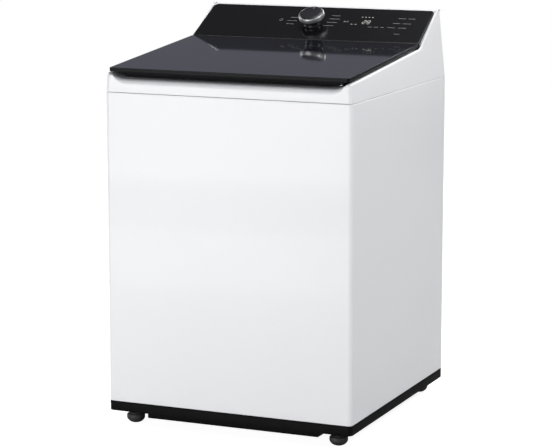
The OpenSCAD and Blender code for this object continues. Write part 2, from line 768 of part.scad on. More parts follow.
module outer_tub() color("whitesmoke") {
    out = tub_r + tub_wall;
    at_tub() difference() {
        union() {
            rotate_extrude() polygon([
                [34.2, tub_floor_z], [out - 8, tub_floor_z], [out, tub_floor_z + 8], [out, tub_top_z - 6],
                [out + 7, tub_top_z - 6], [out + 7, tub_top_z], [tub_r, tub_top_z],
                [tub_r, tub_floor_z + 10], [tub_r - 6, tub_floor_z + 4], [34.2, tub_floor_z + 4]
            ]);
            for (a = [45 : 90 : 315]) rotate([0, 0, a]) {
                // lug that rests on the spring, with its upright web
                block([out - 1.5, rod_at * sqrt(2) + 16], [-17, 17], [lug_z, lug_z + 10]);
                rotate([90, 0, 0]) translate([0, 0, -3]) linear_extrude(6) polygon([
                    [out - 1.5, lug_z + 9], [rod_at * sqrt(2) - 16, lug_z + 9], [out - 1.5, lug_z + 90]
                ]);
            }
            // ribs under the floor
            for (a = [0 : 45 : 315]) rotate([0, 0, a])
                block([196, out - 12], [-2, 2], [tub_floor_z - 10, tub_floor_z + 1]);
            for (z = [480, 620, 760]) translate([0, 0, z]) rotate_extrude()
                polygon([[out - 1, 0], [out + 4, 0], [out + 4, 4], [out - 1, 4]]);
            translate([pump_at[0], pump_at[1] - mid_y, sump_z])
                cylinder(r = 15, h = tub_floor_z - sump_z + 1);
        }
        translate([pump_at[0], pump_at[1] - mid_y, sump_z - 1]) cylinder(r = 12, h = 60);
        for (a = [45 : 90 : 315]) rotate([0, 0, a])
            translate([rod_at * sqrt(2), 0, lug_z - 5]) cylinder(r = rod_r + 0.6, h = 30);
        for (a = [0 : 60 : 300]) rotate([0, 0, a])
            translate([105, 0, tub_floor_z - 1]) cylinder(r = 3, h = 10);
    }
}

module tub_ring() color("whitesmoke") {
    out = tub_r + tub_wall;
    at_tub() rotate_extrude() polygon([
        [out + 7.4, tub_top_z - 8], [out + 9.4, tub_top_z - 8], [out + 9.4, tub_top_z + 2],
        [out + 3, tub_top_z + 8], [252, tub_top_z + 12], [236, tub_top_z + 12], [230, tub_top_z + 8],
        [230, tub_top_z - 6], [232.5, tub_top_z - 6], [232.5, tub_top_z + 6], [238, tub_top_z + 9.5],
        [252, tub_top_z + 9.5], [out + 1, tub_top_z + 5.5], [out + 7.4, tub_top_z + 0.2]
    ]);
}

module bearing_housing() color("silver") {
    low = bearing_z[0] - 4;
    at_tub() difference() {
        union() {
            translate([0, 0, low]) cylinder(r = 34, h = seal_top_z - low);
            translate([0, 0, tub_floor_z - 6]) cylinder(r = 120, h = 5.9);
            translate([0, 0, stator_z + 34]) cylinder(r = 90, h = 6);
            for (a = [0 : 60 : 300]) rotate([0, 0, a + 30])
                block([32, 88], [-3, 3], [stator_z + 39, tub_floor_z - 5]);
        }
        translate([0, 0, low - 1]) cylinder(r = 24, h = 200);
        translate([0, 0, low - 1]) cylinder(r = bearing_r, h = bearing_h + 5);
        translate([0, 0, bearing_z[1]]) cylinder(r = bearing_r, h = 100);
        for (a = [0 : 60 : 300]) rotate([0, 0, a]) {
            translate([105, 0, tub_floor_z - 10]) cylinder(r = 3, h = 20);
            translate([76, 0, stator_z + 30]) cylinder(r = 3, h = 20);
        }
    }
}

module shaft_bearings() color("silver") {
    at_tub() for (z = bearing_z) translate([0, 0, z]) rotate_extrude() difference() {
        polygon([[spin_r, 0], [bearing_r, 0], [bearing_r, bearing_h], [spin_r, bearing_h]]);
        polygon([[18.7, -1], [23.8, -1], [23.8, 1.5], [18.7, 1.5]]);
        polygon([[18.7, bearing_h - 1.5], [23.8, bearing_h - 1.5], [23.8, bearing_h + 1], [18.7, bearing_h + 1]]);
    }
}

module tub_seal() color("dimgray") {
    low = bearing_z[1] + bearing_h;
    at_tub() rotate_extrude() polygon([
        [spin_r + 0.1, low + 1], [18, low + 1], [18, low + 5], [24, low + 5], [24, low + 0.2],
        [bearing_r, low + 0.2], [bearing_r, seal_top_z], [spin_r + 0.1, seal_top_z]
    ]);
}

// ---------------------------------------------------------------- drive

module stator() color("chocolate") {
    teeth = 24;
    at_tub() difference() {
        union() {
            tube(112, 92, stator_z, 30);
            tube(112, 45, stator_z + 28, 6);
            for (i = [0 : teeth - 1]) rotate([0, 0, i * 360 / teeth]) {
                block([110, stator_r - 4], [-5, 5], [stator_z + 5, stator_z + 25]);
                block([stator_r - 5, stator_r], [-10, 10], [stator_z + 3, stator_z + 27]);
            }
        }
        for (a = [0 : 60 : 300]) rotate([0, 0, a])
            translate([76, 0, stator_z + 20]) cylinder(r = 3, h = 20);
    }
}

module clutch_actuator() color("black") {
    top = stator_z + 27.8;
    at_tub() difference() {
        block([52, 86], [-17, 17], [stator_z + 1, top]);
        block([50, 76], [-9, 9], [stator_z + 4, top - 3]);
    }
}

module clutch_fork() color("gold") {
    z = stator_z + 8;
    at_tub() difference() {
        union() {
            translate([0, 0, z]) cylinder(r = 34, h = 3);
            block([30, 72], [-7, 7], [z, z + 3]);
        }
        translate([0, 0, z - 1]) cylinder(r = coupler_neck_r + 0.6, h = 5);
        block([-40, 0], [-coupler_neck_r - 0.6, coupler_neck_r + 0.6], [z - 1, z + 4]);
    }
}

module clutch_coupler() color("gray") {
    z = stator_z + 2;
    at_tub() rotate_extrude() polygon([
        [spin_r + 0.1, z], [26, z], [26, z + 5.6], [coupler_neck_r, z + 5.6],
        [coupler_neck_r, z + 9.4], [26, z + 9.4], [26, z + 14], [spin_r + 0.1, z + 14]
    ]);
}

module spin_shaft() color("silver") {
    at_tub() tube(spin_r, shaft_r + 0.2, stator_z, basket_floor_z + 4 - stator_z);
}

module basket_hub() color("silver") {
    at_tub() difference() {
        union() {
            tube(33, spin_r, basket_floor_z - 32, 32);
            tube(150, 30, basket_floor_z - 7.5, 7.4);
            for (a = [0 : 60 : 300]) rotate([0, 0, a])
                block([31, 140], [-4, 4], [basket_floor_z - 26, basket_floor_z - 5]);
        }
        for (a = [0 : 60 : 300]) rotate([0, 0, a + 30])
            translate([100, 0, basket_floor_z - 12]) cylinder(r = 22, h = 14);
    }
}

module basket_base() color("gainsboro") {
    at_tub() difference() {
        rotate_extrude() polygon([
            [spin_r, basket_floor_z], [basket_r - 12, basket_floor_z], [basket_r - wall_t, basket_floor_z + 8],
            [basket_r - wall_t, basket_floor_z + 28], [basket_r - wall_t - 3, basket_floor_z + 28],
            [basket_r - wall_t - 3, basket_floor_z + 10], [basket_r - 14, basket_floor_z + 3],
            [spin_r, basket_floor_z + 3]
        ]);
        for (a = [0 : 20 : 340], r = [198, 222, 246]) rotate([0, 0, a + r])
            translate([r, 0, basket_floor_z - 1]) cylinder(r = 4, h = 6);
    }
}

module basket_wall() color("silver") {
    at_tub() rotate_extrude() polygon([
        [basket_r - wall_t, basket_floor_z + 8], [basket_r, basket_floor_z + 8],
        [basket_r, basket_top_z - ring_h + 12], [basket_r - wall_t, basket_top_z - ring_h + 12]
    ]);
}

module balance_ring() color("whitesmoke") {
    low = basket_top_z - ring_h;
    in_r = basket_r - 39;
    at_tub() rotate_extrude() polygon([
        [in_r, low + 6], [in_r + 6, low], [basket_r - wall_t - 0.1, low], [basket_r - wall_t - 0.1, low + 12.2],
        [basket_r + 1, low + 12.2], [basket_r + 1, basket_top_z - 5], [basket_r - 5, basket_top_z],
        [in_r + 8, basket_top_z], [in_r, basket_top_z - 8]
    ]);
}

module drive_shaft() color("silver") {
    at_tub() difference() {
        translate([0, 0, rotor_z - 12]) cylinder(r = shaft_r, h = plate_z + 18 - rotor_z + 12);
        translate([0, 0, plate_z + 6]) cylinder(r = 3, h = 20);
    }
}

module rotor() color("dimgray") {
    at_tub() difference() {
        union() {
            tube(rotor_r, shaft_r, rotor_z, 3);
            tube(rotor_r, rotor_r - 4, rotor_z, 50);
            tube(24, shaft_r, rotor_z - 6, 20);
            tube(rotor_r - 4, stator_r + 3.5, rotor_z + 8, 38);
        }
        for (a = [0 : 45 : 315]) rotate([0, 0, a])
            translate([80, 0, rotor_z - 2]) cylinder(r = 16, h = 6);
    }
}

module wash_plate() color("steelblue") {
    at_tub() difference() {
        union() {
            rotate_extrude() polygon([
                [shaft_r, plate_z], [24, plate_z], [24, plate_z + 5], [150, plate_z + 5], [168, plate_z + 1],
                [178, plate_z + 4], [178, plate_z + 8], [168, plate_z + 8], [120, plate_z + 14],
                [60, plate_z + 20], [shaft_r, plate_z + 22]
            ]);
            // six vanes
            for (a = [0 : 60 : 300]) rotate([0, 0, a]) rotate([90, 0, 0])
                translate([0, 0, -7]) linear_extrude(14) polygon([
                    [40, plate_z + 12], [160, plate_z + 6], [164, plate_z + 18], [150, plate_z + 34],
                    [110, plate_z + 36], [60, plate_z + 30], [40, plate_z + 26]
                ]);
        }
        translate([0, 0, plate_z + 18]) cylinder(r = 30, h = 40);
        for (a = [0 : 20 : 340]) rotate([0, 0, a + 10])
            translate([136, 0, plate_z]) cylinder(r = 3, h = 40);
    }
}

module wash_plate_cap() color("lightsteelblue") {
    at_tub() rotate_extrude() polygon([
        [0, plate_z + 18.1], [29.5, plate_z + 18.1], [29.5, plate_z + 26], [22, plate_z + 34], [0, plate_z + 38]
    ]);
}

// ---------------------------------------------------------------- drain

module drain_pump() color("dimgray") {
    translate([pump_at[0], pump_at[1], 0]) difference() {
        union() {
            // motor below, volute above, inlet up and outlet to the side
            translate([0, 0, panel_z]) cylinder(r = 30, h = 30);
            translate([0, 0, pump_z - 4]) cylinder(r = 40, h = 34);
            translate([0, 0, pump_z + 29]) cylinder(r = 15, h = pump_top - pump_z - 29);
            translate([0, 22, pump_z + 13]) rotate([0, 90, 0]) cylinder(r = 11, h = 66);
            block([-46, 46], [-12, 12], [panel_z, panel_z + 4]);
        }
        translate([0, 0, pump_z]) cylinder(r = 36, h = 26);
        translate([0, 0, pump_z + 20]) cylinder(r = 12, h = 60);
        translate([20, 22, pump_z + 13]) rotate([0, 90, 0]) cylinder(r = 8.5, h = 60);
    }
}

module pump_impeller() color("white") {
    translate([pump_at[0], pump_at[1], pump_z + 1.5]) {
        cylinder(r = 24, h = 2);
        cylinder(r = 6, h = 18);
        for (a = [0 : 60 : 300]) rotate([0, 0, a]) block([4, 23], [-1.2, 1.2], [1, 15]);
    }
}

module sump_hose() color("black") {
    folds = 4;
    low = pump_top - 10;
    high = sump_z + 12;
    step = (sump_z - pump_top) / folds;
    side = [
        for (i = [0 : folds - 1])
            each [[16.6, pump_top + i * step], [22, pump_top + (i + 0.5) * step]]
    ];
    inside = [
        for (i = [folds - 1 : -1 : 0])
            each [[20, pump_top + (i + 0.5) * step], [15.1, pump_top + i * step]]
    ];
    translate([pump_at[0], pump_at[1], 0]) rotate_extrude() polygon(concat(
        [[15.1, low], [17.5, low]], side, [[17.5, sump_z], [17.5, high], [15.1, high], [15.1, sump_z]], inside
    ));
}

module drain_pipe() color("gray") {
    bend_r = 24;
    start = [pump_at[0] + 50, pump_at[1] + 22, pump_z + 13];
    run_x = outlet_at[0] - bend_r - start[0];
    run_z = outlet_at[1] - start[2] - 2 * bend_r;
    run_y = rear_y - 14 - (start[1] + bend_r);
    translate(start) rotate([0, 90, 0]) rotate([0, 0, 180])
        pipe([[run_x], [bend_r, 0], [run_z], [bend_r, -90], [run_y]], 13.5, 11.1);
}

module drain_outlet() color("dimgray") {
    translate([outlet_at[0], rear_y, outlet_at[1]]) rotate([-90, 0, 0]) difference() {
        union() {
            translate([0, 0, -28]) cylinder(r = 11, h = 30);
            translate([0, 0, -10]) cylinder(r = 14.5, h = 12);
            translate([0, 0, -1.15]) cylinder(r = 24, h = 4);
            cylinder(r = 14, h = overall_d - body_d);
        }
        translate([0, 0, -30]) cylinder(r = 8.5, h = 80);
    }
}

module power_gland() color("black") {
    translate([gland_at[0], rear_y, gland_at[1]]) rotate([-90, 0, 0]) difference() {
        union() {
            translate([0, 0, -14]) cylinder(r = 10.8, h = 16);
            translate([0, 0, -1.15]) cylinder(r = 16, h = 8);
            translate([0, 0, -8.5]) cylinder(r = 16, h = 6, $fn = 6);
        }
        translate([0, 0, -20]) cylinder(r = 5, h = 40);
    }
}

module wire_harness() color("darkorange") {
    // trunk from the control box down the right rear corner to the pump
    translate([301, 290, floor_z + plastic_t + 14]) rotate([0, 90, 0])
        pipe([[5], [12, 90], [10, -90], [780], [20, 90], [128], [20, -90], [61]], 3);
    // branch under the inlet hoses to the dispenser
    translate([189, 250, floor_z + plastic_t + 6]) rotate([0, -90, 0]) pipe([[178]], 3);
}

// ---------------------------------------------------------------- parts

cabinet_shell();
rear_panel();
rear_access_cover();
base_frame();
top_cover();
console_fascia();
console_rear_cover();
display_board();
control_box();
knob_encoder();
dispenser_housing();
water_valves();
inlet_hoses();
pressure_sensor();
lid_lock_housing();
lid_lock_bolt();
hinge_brackets();
soft_close_damper();
lid_frame();
lid_glass();
lid_striker();
lid_hinge_pins();
lid_bumpers();
knob_body();
knob_ring();
dispenser_drawer();
foot_front_left();
foot_front_right();
foot_rear_left();
foot_rear_right();
foot_lock_nuts();
rod_sockets();
suspension_rods();
rod_end_caps();
suspension_springs();
outer_tub();
tub_ring();
bearing_housing();
shaft_bearings();
tub_seal();
stator();
clutch_actuator();
clutch_fork();
clutch_coupler();
spin_shaft();
basket_hub();
basket_base();
basket_wall();
balance_ring();
drive_shaft();
rotor();
wash_plate();
wash_plate_cap();
drain_pump();
pump_impeller();
sump_hose();
drain_pipe();
drain_outlet();
power_gland();
wire_harness();
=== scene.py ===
import json
import math

import bmesh
import bpy
from mathutils import Matrix, Vector
from mathutils.geometry import tessellate_polygon

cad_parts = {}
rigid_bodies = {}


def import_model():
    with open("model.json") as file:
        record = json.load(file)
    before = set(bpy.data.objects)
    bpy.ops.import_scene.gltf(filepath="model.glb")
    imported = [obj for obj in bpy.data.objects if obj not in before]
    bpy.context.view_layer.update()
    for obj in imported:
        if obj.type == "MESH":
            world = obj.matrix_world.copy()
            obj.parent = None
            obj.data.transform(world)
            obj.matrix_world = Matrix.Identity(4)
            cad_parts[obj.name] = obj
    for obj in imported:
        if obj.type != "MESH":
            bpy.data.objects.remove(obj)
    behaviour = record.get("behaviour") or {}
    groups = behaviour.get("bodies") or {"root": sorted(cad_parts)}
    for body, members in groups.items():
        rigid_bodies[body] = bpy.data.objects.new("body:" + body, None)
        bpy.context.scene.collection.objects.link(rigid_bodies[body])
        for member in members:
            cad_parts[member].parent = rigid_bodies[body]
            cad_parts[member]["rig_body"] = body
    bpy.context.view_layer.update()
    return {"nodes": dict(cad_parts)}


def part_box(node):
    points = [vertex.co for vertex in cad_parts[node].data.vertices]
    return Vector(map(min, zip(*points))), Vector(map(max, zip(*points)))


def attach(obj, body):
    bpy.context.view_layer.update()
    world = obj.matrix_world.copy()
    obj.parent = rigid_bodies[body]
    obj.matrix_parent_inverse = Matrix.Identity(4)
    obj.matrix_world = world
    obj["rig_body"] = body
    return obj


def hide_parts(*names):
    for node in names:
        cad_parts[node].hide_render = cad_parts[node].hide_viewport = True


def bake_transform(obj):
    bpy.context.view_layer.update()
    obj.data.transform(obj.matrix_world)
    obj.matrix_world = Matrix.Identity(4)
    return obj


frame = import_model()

NODES = frame["nodes"]

# ------------------------------------------------------------------ places, in metres
shell_lo, shell_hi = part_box("cabinet_shell")
FRONT, REAR, HALF = shell_lo.y, shell_hi.y, shell_hi.x
PANEL_Z, SEAM = shell_lo.z, shell_hi.z
MID_Y = (FRONT + REAR) / 2
DEPTH = REAR - FRONT
MM = 0.001
CORNER = 12 * MM
SLOPE = 0.0822
DECK_Z = SEAM + 33.85 * MM            # deck plane carried forward to the front face
LID_TOP = SEAM + 63 * MM
LID_HALF = 331.5 * MM
LID_REAR = 503 * MM
CHEEK = [(0.0, SEAM + 49.3 * MM), (0.503, SEAM + 91.7 * MM), (0.642, SEAM + 181 * MM)]
BACK_CREST = (0.668, SEAM + 169 * MM)
DRAFT = 11.0 / 181.0
FOOT = Vector((0, FRONT + 0.506, SEAM + 0.106))
CREST = Vector((0, FRONT + 0.642, SEAM + 0.181))
FACE_UP = (CREST - FOOT).normalized()
FACE_OUT = Vector((1, 0, 0)).cross(FACE_UP)
FACE_LEN = (CREST - FOOT).length
KNOB_UP = FACE_LEN * 0.493
TUB = Vector((0, MID_Y, 0))


def deck_z(s):
    return DECK_Z + SLOPE * s


def lid_z(s):
    return LID_TOP + SLOPE * s


def rear_s(z):
    return DEPTH - (z - SEAM) * (DEPTH - BACK_CREST[0]) / (BACK_CREST[1] - SEAM)


# ------------------------------------------------------------------ materials

class Nodes:
    """Short way to build a node material."""

    def __init__(self, name):
        self.mat = bpy.data.materials.new(name)
        self.mat.use_nodes = True
        self.tree = self.mat.node_tree
        self.shader = self.tree.nodes["Principled BSDF"]

    def add(self, kind, **props):
        node = self.tree.nodes.new(kind)
        for key, value in props.items():
            if key in node.inputs:
                node.inputs[key].default_value = value
            else:
                setattr(node, key, value)
        return node

    def link(self, out, into):
        self.tree.links.new(out, into)

    def coords(self, scale=(1, 1, 1)):
        tex = self.add("ShaderNodeTexCoord")
        mapping = self.add("ShaderNodeMapping")
        mapping.inputs["Scale"].default_value = scale
        self.link(tex.outputs["Object"], mapping.inputs["Vector"])
        return mapping.outputs["Vector"]

    def noise(self, scale, detail=2.0, stretch=(1, 1, 1), roughness=0.5):
        tex = self.add("ShaderNodeTexNoise")
        tex.inputs["Scale"].default_value = scale
        tex.inputs["Detail"].default_value = detail
        tex.inputs["Roughness"].default_value = roughness
        self.link(self.coords(stretch), tex.inputs["Vector"])
        return tex.outputs["Fac"]

    def ramp(self, fac, low, high, start=0.3, end=0.7):
        node = self.add("ShaderNodeValToRGB")
        node.color_ramp.elements[0].position = start
        node.color_ramp.elements[1].position = end
        node.color_ramp.elements[0].color = tuple(low) + (1,)
        node.color_ramp.elements[1].color = tuple(high) + (1,)
        self.link(fac, node.inputs["Fac"])
        return node.outputs["Color"]

    def span(self, fac, low, high, start=0.0, end=1.0):
        node = self.add("ShaderNodeMapRange")
        node.inputs["From Min"].default_value = start
        node.inputs["From Max"].default_value = end
        node.inputs["To Min"].default_value = low
        node.inputs["To Max"].default_value = high
        self.link(fac, node.inputs["Value"])
        return node.outputs["Result"]

    def bump(self, height, strength, distance, before=None):
        node = self.add("ShaderNodeBump")
        node.inputs["Strength"].default_value = strength
        node.inputs["Distance"].default_value = distance
        self.link(height, node.inputs["Height"])
        if before is not None:
            self.link(before, node.inputs["Normal"])
        return node.outputs["Normal"]

    def set(self, **values):
        for key, value in values.items():
            self.shader.inputs[key.replace("_", " ")].default_value = value


def surface(name, colour, roughness, metallic=0.0, vary=0.04, vary_scale=6.0, grain=None, coat=0.0,
            stretch=(1, 1, 1), rough_vary=0.05, specular=0.5, ior=1.5):
    """A paint, plastic, rubber or metal with mottled colour and roughness, and a fine grain of (scale, strength)."""
    m = Nodes(name)
    low = [max(c * (1 - vary), 0) for c in colour]
    high = [min(c * (1 + vary), 1) for c in colour]
    m.link(m.ramp(m.noise(vary_scale, 4.0, stretch), low, high), m.shader.inputs["Base Color"])
    m.link(m.span(m.noise(vary_scale * 3.1, 3.0, stretch), max(roughness - rough_vary, 0.02), roughness + rough_vary),
           m.shader.inputs["Roughness"])
    m.set(Metallic=metallic, IOR=ior)
    m.shader.inputs["Specular IOR Level"].default_value = specular
    if coat:
        m.shader.inputs["Coat Weight"].default_value = coat
        m.shader.inputs["Coat Roughness"].default_value = 0.04
    if grain:
        scale, strength = grain
        m.link(m.bump(m.noise(scale, 2.0, stretch), strength, 0.0004), m.shader.inputs["Normal"])
    return m.mat


def galvanised(name):
    m = Nodes(name)
    cells = m.add("ShaderNodeTexVoronoi")
    cells.inputs["Scale"].default_value = 85.0
    m.link(m.coords(), cells.inputs["Vector"])
    grey = m.add("ShaderNodeRGBToBW")
    m.link(cells.outputs["Color"], grey.inputs["Color"])
    m.link(m.ramp(grey.outputs["Val"], (0.56, 0.57, 0.58), (0.64, 0.65, 0.66), 0.1, 0.9), m.shader.inputs["Base Color"])
    m.link(m.span(grey.outputs["Val"], 0.36, 0.44), m.shader.inputs["Roughness"])
    m.set(Metallic=0.9)
    m.link(m.bump(m.noise(400, 2.0), 0.05, 0.0003), m.shader.inputs["Normal"])
    return m.mat


def brushed(name, colour, roughness, stretch, scale=220.0):
    m = Nodes(name)
    streaks = m.noise(scale, 3.0, stretch, 0.6)
    low = [c * 0.86 for c in colour]
    m.link(m.ramp(streaks, low, colour), m.shader.inputs["Base Color"])
    m.link(m.span(streaks, roughness - 0.06, roughness + 0.08), m.shader.inputs["Roughness"])
    m.set(Metallic=1.0)
    m.link(m.bump(streaks, 0.08, 0.0002), m.shader.inputs["Normal"])
    return m.mat


def board(name):
    m = Nodes(name)
    brick = m.add("ShaderNodeTexBrick")
    brick.inputs["Scale"].default_value = 90.0
    brick.inputs["Color1"].default_value = (0.012, 0.10, 0.035, 1)
    brick.inputs["Color2"].default_value = (0.016, 0.14, 0.05, 1)
    brick.inputs["Mortar"].default_value = (0.03, 0.24, 0.09, 1)
    brick.inputs["Mortar Size"].default_value = 0.03
    m.link(m.coords(), brick.inputs["Vector"])
    m.link(brick.outputs["Color"], m.shader.inputs["Base Color"])
    m.link(m.span(m.noise(60, 2), 0.28, 0.42), m.shader.inputs["Roughness"])
    return m.mat


def glowing(name, colour, strength):
    m = Nodes(name)
    m.link(m.ramp(m.noise(300, 2), [c * 0.9 for c in colour], colour), m.shader.inputs["Base Color"])
    m.shader.inputs["Emission Color"].default_value = tuple(colour) + (1,)
    m.shader.inputs["Emission Strength"].default_value = strength
    m.set(Roughness=0.5)
    return m.mat


WHITE = surface("white_enamel", (0.86, 0.865, 0.87), 0.34, vary=0.004, vary_scale=3, grain=(900, 0.02), coat=0.2, rough_vary=0.02)
GLASS = surface("tinted_glass", (0.009, 0.0095, 0.013), 0.055, vary=0.08, vary_scale=2, rough_vary=0.01)
GLOSS = surface("gloss_black", (0.0055, 0.0055, 0.0065), 0.17, vary=0.10, vary_scale=3, grain=(700, 0.01), rough_vary=0.02)
LID_PLASTIC = surface("lid_plastic", (0.0040, 0.0040, 0.0046), 0.32, vary=0.1, vary_scale=4, grain=(1200, 0.06), specular=0.12)
SKIRT = surface("black_skirt", (0.0030, 0.0030, 0.0031), 0.6, vary=0.15, vary_scale=14, grain=(1500, 0.25), specular=0.07)
FOOT_RUBBER = surface("foot_rubber", (0.030, 0.030, 0.031), 0.62, vary=0.2, vary_scale=30, grain=(1400, 0.5))
HOSE = surface("hose_rubber", (0.022, 0.022, 0.022), 0.6, vary=0.2, vary_scale=30, grain=(1000, 0.4))
STEEL = brushed("steel", (0.60, 0.60, 0.61), 0.3, (1, 1, 8))
STAINLESS = brushed("stainless", (0.62, 0.63, 0.64), 0.26, (1, 1, 14), 120)
GALVANISED = galvanised("galvanised_sheet")
DARK = surface("dark_plastic", (0.035, 0.035, 0.037), 0.5, vary=0.12, vary_scale=20, grain=(1500, 0.35))
WHITE_PLASTIC = surface("white_plastic", (0.74, 0.74, 0.73), 0.38, vary=0.03, vary_scale=10, grain=(1400, 0.15))
TUB_PLASTIC = surface("tub_plastic", (0.56, 0.575, 0.57), 0.42, vary=0.04, vary_scale=9, grain=(1300, 0.2))
REAR_GREY = surface("rear_grey", (0.60, 0.61, 0.61), 0.45, vary=0.03, vary_scale=12, grain=(1500, 0.3))
BOARD = board("circuit_board")
VALVE = surface("valve_blue", (0.05, 0.12, 0.38), 0.42, vary=0.06, vary_scale=30, grain=(1400, 0.2))
DAMPER = surface("damper_grey", (0.2, 0.2, 0.205), 0.45, vary=0.08, vary_scale=30, grain=(1400, 0.2))
KNOB = surface("knob_grey", (0.016, 0.016, 0.019), 0.24, vary=0.08, vary_scale=40, grain=(1600, 0.06), coat=0.2)
SILVER = brushed("silver_trim", (0.50, 0.50, 0.51), 0.42, (1, 1, 1), 900)
SPRING = brushed("spring_steel", (0.33, 0.33, 0.34), 0.35, (1, 1, 1), 400)
CAST = surface("cast_aluminium", (0.55, 0.55, 0.56), 0.45, metallic=0.9, vary=0.08, vary_scale=40, grain=(420, 0.6))
COPPER = surface("copper_winding", (0.42, 0.14, 0.045), 0.32, metallic=0.7, vary=0.15, vary_scale=120, grain=(900, 0.5))
BRASS = brushed("brass_fork", (0.62, 0.44, 0.17), 0.3, (6, 1, 1), 200)
SINTERED = surface("sintered_steel", (0.16, 0.16, 0.165), 0.5, metallic=0.85, vary=0.12, vary_scale=60, grain=(900, 0.4))
PLATE = surface("wash_plate_blue", (0.16, 0.25, 0.40), 0.35, vary=0.05, vary_scale=12, grain=(1300, 0.15))
PLATE_CAP = surface("wash_plate_cap_grey", (0.36, 0.41, 0.48), 0.3, vary=0.05, vary_scale=12, grain=(1300, 0.1))
HARNESS = surface("harness_jacket", (0.02, 0.02, 0.02), 0.55, vary=0.2, vary_scale=80, grain=(900, 0.5))
# the console print is given a faint painted glow: it shines by itself though it is no lamp
PRINT_PAINTED_GLOW = glowing("console_print_painted_glow", (0.26, 0.26, 0.27), 0.10)
DISPLAY = glowing("display_light", (0.62, 0.61, 0.54), 0.30)

NODE_LOOK = {
    WHITE: ["cabinet_shell", "top_cover"], GALVANISED: ["rear_panel", "rear_access_cover", "rod_sockets"],
    SKIRT: ["base_frame"], GLOSS: ["console_fascia"], LID_PLASTIC: ["lid_frame"], REAR_GREY: ["console_rear_cover"],
    BOARD: ["display_board"],
    DARK: ["control_box", "lid_lock_housing", "hinge_brackets", "clutch_actuator", "drain_pump", "drain_outlet",
           "power_gland", "rod_end_caps"],
    WHITE_PLASTIC: ["dispenser_housing", "dispenser_drawer", "pressure_sensor", "pump_impeller"],
    TUB_PLASTIC: ["outer_tub", "tub_ring", "balance_ring"], VALVE: ["water_valves"],
    HOSE: ["inlet_hoses", "sump_hose", "drain_pipe", "tub_seal", "lid_bumpers"],
    FOOT_RUBBER: ["foot_front_left", "foot_front_right", "foot_rear_left", "foot_rear_right"],
    STEEL: ["knob_encoder", "lid_lock_bolt", "lid_striker", "lid_hinge_pins", "foot_lock_nuts", "suspension_rods",
            "shaft_bearings", "spin_shaft", "drive_shaft"],
    DAMPER: ["soft_close_damper"], GLASS: ["lid_glass"], KNOB: ["knob_body"], SILVER: ["knob_ring"],
    SPRING: ["suspension_springs"], CAST: ["bearing_housing", "basket_hub"], COPPER: ["stator"],
    BRASS: ["clutch_fork"], SINTERED: ["clutch_coupler", "rotor"], STAINLESS: ["basket_base", "basket_wall"],
    PLATE: ["wash_plate"], PLATE_CAP: ["wash_plate_cap"], HARNESS: ["wire_harness"],
}
for look, names in NODE_LOOK.items():
    for name in names:
        mesh = NODES[name].data
        mesh.materials.clear()
        mesh.materials.append(look)


# ------------------------------------------------------------------ mesh helpers

def finish_mesh(name, verts, faces, mat, body, nodes=(), angle=35, bevel=0.0, segments=3, subdivide=0,
                weld=True):
    mesh = bpy.data.meshes.new(name)
    mesh.from_pydata([tuple(v) for v in verts], [], faces)
    bm = bmesh.new()
    bm.from_mesh(mesh)
    if weld:
        bmesh.ops.remove_doubles(bm, verts=bm.verts, dist=1e-6)
    bmesh.ops.recalc_face_normals(bm, faces=bm.faces)
    bm.to_mesh(mesh)
    bm.free()
    return place(name, mesh, mat, body, nodes, angle, bevel, segments, subdivide)


def place(name, mesh, mat, body, nodes=(), angle=35, bevel=0.0, segments=3, subdivide=0):
    mesh.materials.clear()
    mesh.materials.append(mat)
    mesh.polygons.foreach_set("use_smooth", [True] * len(mesh.polygons))
    mesh.set_sharp_from_angle(angle=math.radians(angle))
    obj = bpy.data.objects.new(name, mesh)
    bpy.context.scene.collection.objects.link(obj)
    if bevel:
        mod = obj.modifiers.new("edge", "BEVEL")
        mod.width = bevel
        mod.segments = segments
        mod.limit_method = "ANGLE"
        mod.angle_limit = math.radians(angle)
        mod.harden_normals = True
        mod.use_clamp_overlap = True
    if subdivide:
        mod = obj.modifiers.new("smooth", "SUBSURF")
        mod.levels = mod.render_levels = subdivide
    if body:
        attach(obj, body)
    if nodes:
        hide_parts(*nodes)
    return obj


LOOK_OF = {name: look for look, names in NODE_LOOK.items() for name in names}


def rounded_copy(name, node, width, segments=2, angle=30, reshape=None):
    """A copy of a CAD node with its flat faces joined again and its edges rounded by width."""
    bm = bmesh.new()
    bm.from_mesh(NODES[node].data)
    bmesh.ops.remove_doubles(bm, verts=bm.verts, dist=2e-6)
    bmesh.ops.dissolve_limit(bm, angle_limit=math.radians(1.0), verts=bm.verts, edges=bm.edges)
    if reshape:
        for vert in bm.verts:
            vert.co = reshape(vert.co)
    bmesh.ops.recalc_face_normals(bm, faces=bm.faces)
    mesh = bpy.data.meshes.new(name)
    bm.to_mesh(mesh)
    bm.free()
    look = LOOK_OF[node]
    return place(name, mesh, look, NODES[node]["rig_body"], (node,), angle, width, segments)


def rings(rows, closed=True):
    """Faces between rows of equally many points. closed joins each row's ends."""
    verts, faces = [], []
    n = len(rows[0])
    for row in rows:
        verts.extend(row)
    for j in range(len(rows) - 1):
        for i in range(n if closed else n - 1):
            k = (i + 1) % n
            faces.append((j * n + i, j * n + k, (j + 1) * n + k, (j + 1) * n + i))
    return verts, faces


def lathe(profile, centre=Vector(), turn=None, segments=96, closed=False):
    """Turns (radius, height) points round local Z. closed joins the last point to the first."""
    turn = turn or Matrix.Identity(3)
    profile = list(profile)
    if closed:
        profile = profile + [profile[0]]
    rows = []
    for r, z in profile:
        rows.append([centre + turn @ Vector((max(r, 1e-7) * math.cos(2 * math.pi * i / segments),
                                             max(r, 1e-7) * math.sin(2 * math.pi * i / segments), z))
                     for i in range(segments)])
    return rings(rows)


def merged(parts):
    verts, faces = [], []
    for v, f in parts:
        base = len(verts)
        verts.extend(v)
        faces.extend([tuple(i + base for i in face) for face in f])
    return verts, faces


